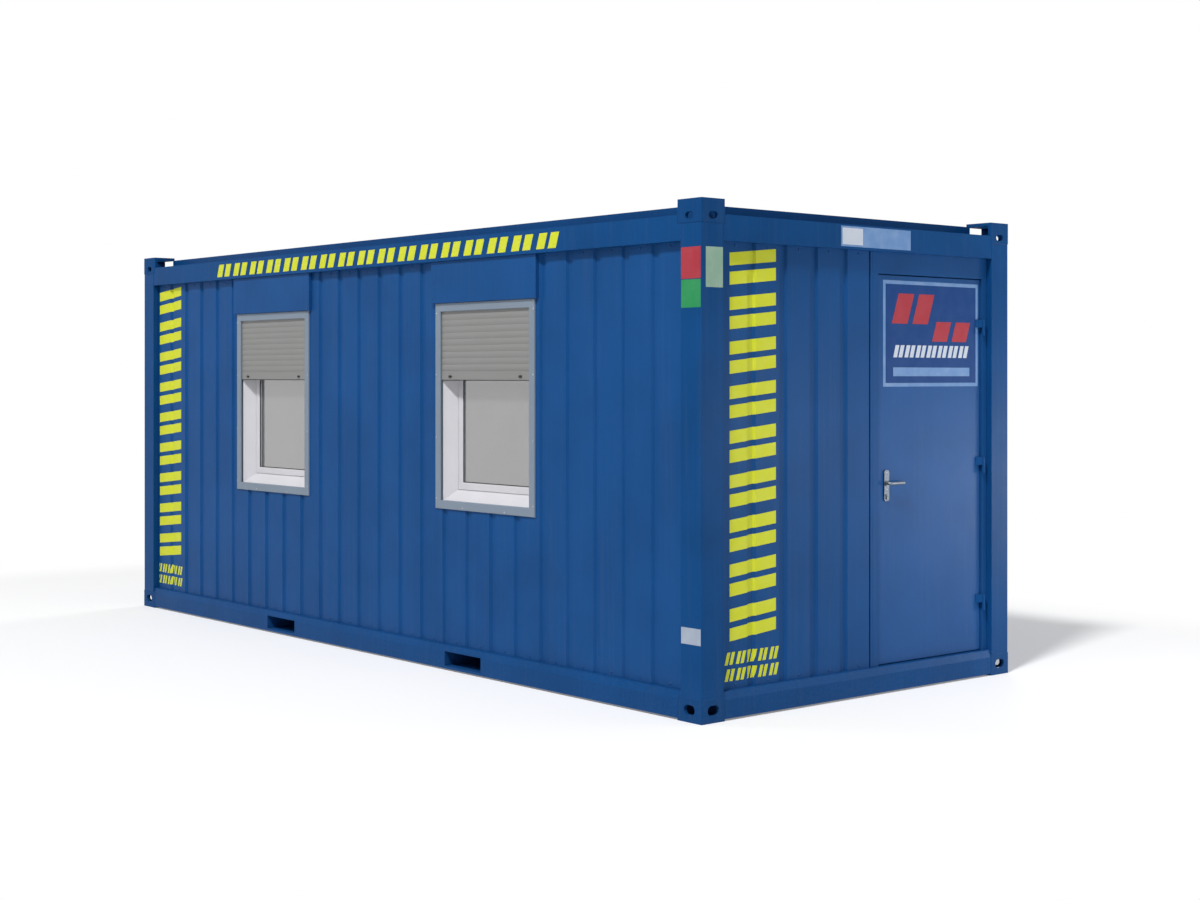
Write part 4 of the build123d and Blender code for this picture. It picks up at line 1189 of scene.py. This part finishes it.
@dataclass
class EndDoor(SubAssembly):
    """Frame, leaf, hinges and lever of the end door, with its seal and sign."""

    leaf_s: Span = (0.137, 1.015)
    leaf_z: Span = (0.150, 2.262)
    leaf_face: float = 0.0475
    leaf_back: float = 0.0875
    rebate: float = 0.024
    inner_sheet: float = 0.001
    seal_depth: Span = (0.0681, 0.0724)
    seal_inset: Span = (0.002, 0.011)
    seal_play: float = 0.002
    seal_radius: float = 0.002
    handle: Place = (0.202, 1.130)
    plate_face: float = 0.0395
    plate_screws: tuple[float, ...] = (0.058, -0.034, -0.088)
    plate_head: Head = (0.0042, 0.0016)
    keyway: tuple[Span, Span, Span] = ((0.2009, 0.2031), (0.0350, 0.0356), (1.0595, 1.0685))
    keyway_edge: float = 0.0002
    plate_hole: Area = ((0.1815, 0.2225), (1.033, 1.203))
    sign_border: Area = ((0.180, 0.995), (1.655, 2.235))
    sign_field: Area = ((0.200, 0.975), (1.675, 2.215))
    sign_red: tuple[Area, ...] = (((0.250, 0.610), (2.000, 2.165)), ((0.590, 0.925), (1.905, 2.015)))
    red_cut: SlantedBars = SlantedBars(pairs=1, fill=0.86, slant=0.35)
    sign_white: Area = ((0.262, 0.930), (1.815, 1.882))
    white_cut: SlantedBars = SlantedBars(pairs=7, fill=0.66, slant=0.30)
    sign_rule: Area = ((0.262, 0.918), (1.712, 1.760))

    def build(self) -> None:
        """Dress the door's own nodes and fit its small parts."""
        self.dress(Surface.WALL, "door_frame")
        self.dress(Surface.DOOR, "door_leaf")
        self.dress(Surface.FRAME, "door_hinge_pins", "door_hinge_straps")
        self.dress(Surface.PLATE, "door_lock_plates")
        self.dress(Surface.HANDLE, "door_handle")
        self.seal()
        self.fit_lock()
        self.hang_sign()
        self.line()

    def seal(self) -> None:
        """Press a hollow rubber seal into the frame's stop, just clear of the leaf."""
        (left, right), (low, high) = self.leaf_s, self.leaf_z
        middle = ((left + right) / 2, (low + high) / 2)
        size = (right - left - self.seal_play, high - low - self.seal_play)
        shape = self.on(Wall.DOOR_END)
        shape.moulding(*middle, size, self.seal_inset, self.seal_depth, self.seal_radius)
        self.add("door_seal", shape, Surface.RUBBER_AND_KEYWAY_SHADE, "door_paint")

    def fit_lock(self) -> None:
        """Screw the lock plate on, and set a thin near-black block in its keyway as painted shade for the
        slot.
        """
        s, z = self.handle
        screws = self.on(Wall.DOOR_END)
        for height in self.plate_screws:
            screws.stud(s, z + height, self.plate_face, self.plate_head)
        self.add("lock_plate_screws", screws, Surface.SCREW, "handle_fitting", DOOR, smooth=True)
        # The keyway is not cut: a thin near-black block lies there as painted shade for the slot.
        keyway = self.on(Wall.DOOR_END).block(*self.keyway, self.keyway_edge)
        self.add("lock_keyway", keyway, Surface.RUBBER_AND_KEYWAY_SHADE, "handle_fitting", DOOR)

    def hang_sign(self) -> None:
        """Lay a plain sign on the leaf: pale border, blue field, and bars that say nothing."""
        red = [bar for area in self.sign_red for bar in self.red_cut.cut(*area)]
        for name, outlines, layer, surface in (
            ("border", [rectangle(*self.sign_border)], 0, Surface.PALE_BLUE),
            ("field", [rectangle(*self.sign_field)], 1, Surface.NAVY),
            ("red_bars", red, 2, Surface.RED),
            ("white_bars", self.white_cut.cut(*self.sign_white), 2, Surface.WHITE),
            ("rule", [rectangle(*self.sign_rule)], 2, Surface.PALE_BLUE),
        ):
            film = self.on(Wall.DOOR_END).film(outlines, self.leaf_face - layer * FILM_LAYER)
            self.add(f"door_sign_{name}", film, surface, "door_paint", DOOR)

    def line(self) -> None:
        """Cover the room side of the leaf with a pale sheet, cut out round the inner lock plate."""
        (left, right), (low, high) = self.leaf_s, self.leaf_z
        shape = self.on(Wall.DOOR_END).board(
            (left + self.rebate, right - self.rebate), (self.leaf_back, self.leaf_back + self.inner_sheet),
            (low + self.rebate, high - self.rebate), [self.plate_hole],
        )
        self.add("door_inner_sheet", shape, Surface.BOARD, "door_paint", DOOR)


@dataclass
class RoomLining(SubAssembly):
    """Coated boards inside the walls, with their joint strips, corner strips and skirting."""

    wall_back: float = 0.0975
    board: float = 0.002
    room_z: Span = (0.150, 2.473)
    # Height of each rail, how far it stands out and the radius of its edges.
    skirting: Triple = (0.060, 0.010, 0.0025)
    cornice: Triple = (0.030, 0.008, 0.002)
    # Reach of each upright strip from its corner or joint, and how far it stands out.
    corner_strip: tuple[float, float] = (0.025, 0.004)
    joint_strip: tuple[float, float] = (0.014, 0.003)
    joints: tuple[float, ...] = (-1.725, -0.575, 0.575, 1.725)
    window_hole: tuple[float, Span] = (0.453, (0.9545, 2.3405))
    door_hole: Area = ((0.085, 1.065), (0.150, 2.318))

    def build(self) -> None:
        """Line the four walls."""
        half, height = self.window_hole
        windows = [((s - half, s + half), height) for s in (-WINDOW_MIDDLE, WINDOW_MIDDLE)]
        for wall, holes in (
            (Wall.FRONT, windows), (Wall.BACK, []), (Wall.DOOR_END, [self.door_hole]), (Wall.REAR_END, []),
        ):
            self.line(wall, holes)

    def line(self, wall: Wall, holes: list[Area]) -> None:
        """Line one wall.

        Args:
            wall: The wall.
            holes: Spans along the wall and in height of its openings.
        """
        back = self.wall_back + self.board
        half = self.hull.half_span(wall) - self.wall_back - (self.board if wall.is_end else 0)
        name = wall.name.lower()
        boards = self.on(wall).board((-half, half), (self.wall_back, back), self.room_z, holes)
        self.add(f"lining_boards_{name}", boards, Surface.BOARD, "ceiling_board")
        strips = self.on(wall)
        low, high = self.room_z
        tall, rise, edge = self.skirting
        foot = low + tall
        door_left, door_right = self.door_hole[0]
        runs = [(-half, door_left), (door_right, half)] if wall is Wall.DOOR_END else [(-half, half)]
        for s in runs:
            strips.block(s, (back, back + rise), (low, foot), edge)
        tall, rise, edge = self.cornice
        top = high - tall
        strips.block((-half, half), (back, back + rise), (top, high), edge)
        reach, rise = self.corner_strip
        for s in ((-half, reach - half), (half - reach, half)):
            strips.block(s, (back, back + rise), (low, high))
        reach, rise = self.joint_strip
        for s in () if wall.is_end else self.joints:
            if not any(left - reach < s < right + reach for (left, right), _ in holes):
                strips.block((s - reach, s + reach), (back, back + rise), (foot, top))
        self.add(f"lining_strips_{name}", strips, Surface.LINING_TRIM, "ceiling_board")


# ---- Stage, light and camera ----


@dataclass(frozen=True)
class Lamp:
    """A soft round lamp."""

    name: str
    place: Triple
    aim: Triple
    size: float
    power: float

    def hang(self) -> None:
        """Hang the lamp, turned to what it lights and out of the camera's sight."""
        data = bpy.data.lights.new(self.name, "AREA")
        data.shape = "DISK"
        data.size = self.size
        data.energy = self.power
        lamp = bpy.data.objects.new(self.name, data)
        bpy.context.scene.collection.objects.link(lamp)
        lamp.visible_camera = False
        lamp.location = self.place
        lamp.rotation_euler = (Vector(self.aim) - Vector(self.place)).to_track_quat("-Z", "Y").to_euler()


@dataclass
class Studio:
    """Pale floor, soft lamps, an even white surround and the camera."""

    floor_size: float = 160.0
    floor_drop: float = 0.0005
    floor_colour: str = "#EEEEEE"
    floor_glow: float = 0.20
    footprint: Triple = (3.0275, 1.2175, 0.0)
    white_from: Span = (2.0, 3.1)
    fill: float = 0.24
    camera_place: Triple = (9.4467, -7.2892, 1.7086)
    camera_heading: float = 139.8246
    sensor_width: float = 36.0
    lens: float = 53.984
    shift_y: float = -0.061
    sight: float = 400.0
    lamps: tuple[Lamp, ...] = (
        Lamp("key_lamp", (8.2, -13.8, 20.0), (0.4, 0, 1.2), 3.2, 4450.0),
        Lamp("side_fill", (-7.0, -9.0, 8.0), (-2.5, 0, 0.8), 4.0, 190.0),
        Lamp("back_fill", (-5.0, 9.5, 4.5), (-0.5, 0, 1.2), 4.0, 340.0),
        Lamp("end_fill", (5.4, 1.4, 1.4), (3.0, 1.0, 1.2), 1.2, 16.0),
        Lamp("corner_fill", (6.3, 7.1, 0.7), (3.03, 1.0, 0.8), 1.4, 135.0),
    )

    def build(self) -> None:
        """Set the stage."""
        self.lay_floor()
        self.surround()
        for lamp in self.lamps:
            lamp.hang()
        self.stand_camera()
        bpy.context.scene.view_settings.view_transform = "Standard"

    def lay_floor(self) -> None:
        """Lay a pale floor that keeps the cabin's shadow and turns white away from it."""
        work = bmesh.new()
        bmesh.ops.create_grid(work, x_segments=4, y_segments=4, size=self.floor_size / 2)
        mesh = bpy.data.meshes.new("studio_floor")
        work.to_mesh(mesh)
        work.free()
        floor = bpy.data.objects.new("studio_floor", mesh)
        bpy.context.scene.collection.objects.link(floor)
        floor.location.z = -self.floor_drop
        mesh.materials.append(self.paper())
        floor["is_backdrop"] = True

    def paper(self) -> bpy.types.Material:
        """Make the floor's matt paper.

        Returns:
            Lit paper near the cabin, plain white far from it, and plain paper to light that bounces.
        """
        material = bpy.data.materials.new("studio_paper")
        material.use_nodes = True
        tree = material.node_tree
        tree.nodes.clear()
        paper = add_node(tree, "ShaderNodeBsdfDiffuse", {"Color": linear(self.floor_colour)})
        glow = add_node(tree, "ShaderNodeEmission", {"Strength": self.floor_glow})
        white = add_node(tree, "ShaderNodeEmission", {"Strength": 1.0})
        lit = add_node(tree, "ShaderNodeAddShader", {0: paper.outputs[0], 1: glow.outputs[0]})
        # Distance from the cabin's footprint, so that the shadow stays inside the part that is lit.
        apart = add_node(tree, "ShaderNodeTexCoord").outputs["Object"]
        none = (0, 0, 0)
        for operation, other in (("ABSOLUTE", none), ("SUBTRACT", self.footprint), ("MAXIMUM", none)):
            inputs = {0: apart, 1: other}
            apart = add_node(tree, "ShaderNodeVectorMath", inputs, operation=operation).outputs["Vector"]
        away = add_node(tree, "ShaderNodeVectorMath", {0: apart}, operation="LENGTH").outputs["Value"]
        limits = {"Value": away, "From Min": self.white_from[0], "From Max": self.white_from[1]}
        far = add_node(tree, "ShaderNodeMapRange", limits, interpolation_type="SMOOTHSTEP").outputs["Result"]
        shown = add_node(tree, "ShaderNodeMixShader", {0: far, 1: lit.outputs[0], 2: white.outputs[0]})
        sides = {0: self.seen_rays(tree), 1: paper.outputs[0], 2: shown.outputs[0]}
        seen = add_node(tree, "ShaderNodeMixShader", sides)
        add_node(tree, "ShaderNodeOutputMaterial", {"Surface": seen.outputs[0]})
        return material

    @staticmethod
    def seen_rays(tree: bpy.types.NodeTree) -> Socket:
        """Whether a ray shows what it meets: straight to the camera, in a reflection or through glass.

        Args:
            tree: The node tree that asks.

        Returns:
            1 for such a ray, 0 for one that only carries light.
        """
        rays = add_node(tree, "ShaderNodeLightPath").outputs
        seen = rays["Is Camera Ray"]
        for way in ("Is Transmission Ray", "Is Glossy Ray"):
            seen = add_node(tree, "ShaderNodeMath", {0: seen, 1: rays[way]}, operation="MAXIMUM").outputs[0]
        return seen

    def surround(self) -> None:
        """White to the camera and in reflections, a plain grey fill for everything else."""
        world = bpy.data.worlds.new("studio_surround")
        bpy.context.scene.world = world
        world.use_nodes = True
        tree = world.node_tree
        tree.nodes.clear()
        even = (1, 1, 1, 1)
        fill = add_node(tree, "ShaderNodeBackground", {"Color": even, "Strength": self.fill}).outputs[0]
        white = add_node(tree, "ShaderNodeBackground", {"Color": even, "Strength": 1.0}).outputs[0]
        mix = add_node(tree, "ShaderNodeMixShader", {0: self.seen_rays(tree), 1: fill, 2: white})
        add_node(tree, "ShaderNodeOutputWorld", {"Surface": mix.outputs[0]})

    def stand_camera(self) -> None:
        """Stand the camera off the corner between the window wall and the door end."""
        data = bpy.data.cameras.new("camera")
        data.sensor_width = self.sensor_width
        data.sensor_fit = "HORIZONTAL"
        data.lens = self.lens
        data.shift_y = self.shift_y
        data.clip_end = self.sight
        camera = bpy.data.objects.new("camera", data)
        bpy.context.scene.collection.objects.link(camera)
        camera.location = self.camera_place
        camera.rotation_euler = (math.radians(90), 0, math.radians(self.camera_heading - 90))
        bpy.context.scene.camera = camera


def main() -> None:
    """Build and dress the cabin in order."""
    logging.basicConfig(level=logging.INFO, format="%(name)s: %(message)s")
    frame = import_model()
    cad_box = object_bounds()
    low, high = (Vector(corner) for corner in cad_box)
    hull = Hull((high.x - low.x) / 2, (high.y - low.y) / 2, high.z)
    nodes = frame["nodes"]
    SteelFrame(nodes, hull).build()
    FloorAndRoof(nodes, hull).build()
    WallPanels(nodes, hull).build()
    for side, middle in (("left", -WINDOW_MIDDLE), ("right", WINDOW_MIDDLE)):
        ShutteredWindow(nodes, hull, side=side, middle=middle).build()
    EndDoor(nodes, hull).build()
    RoomLining(nodes, hull).build()
    Studio().build()
    LOG.info("dressed %d nodes", len(nodes))


if __name__ == "__main__":
    main()
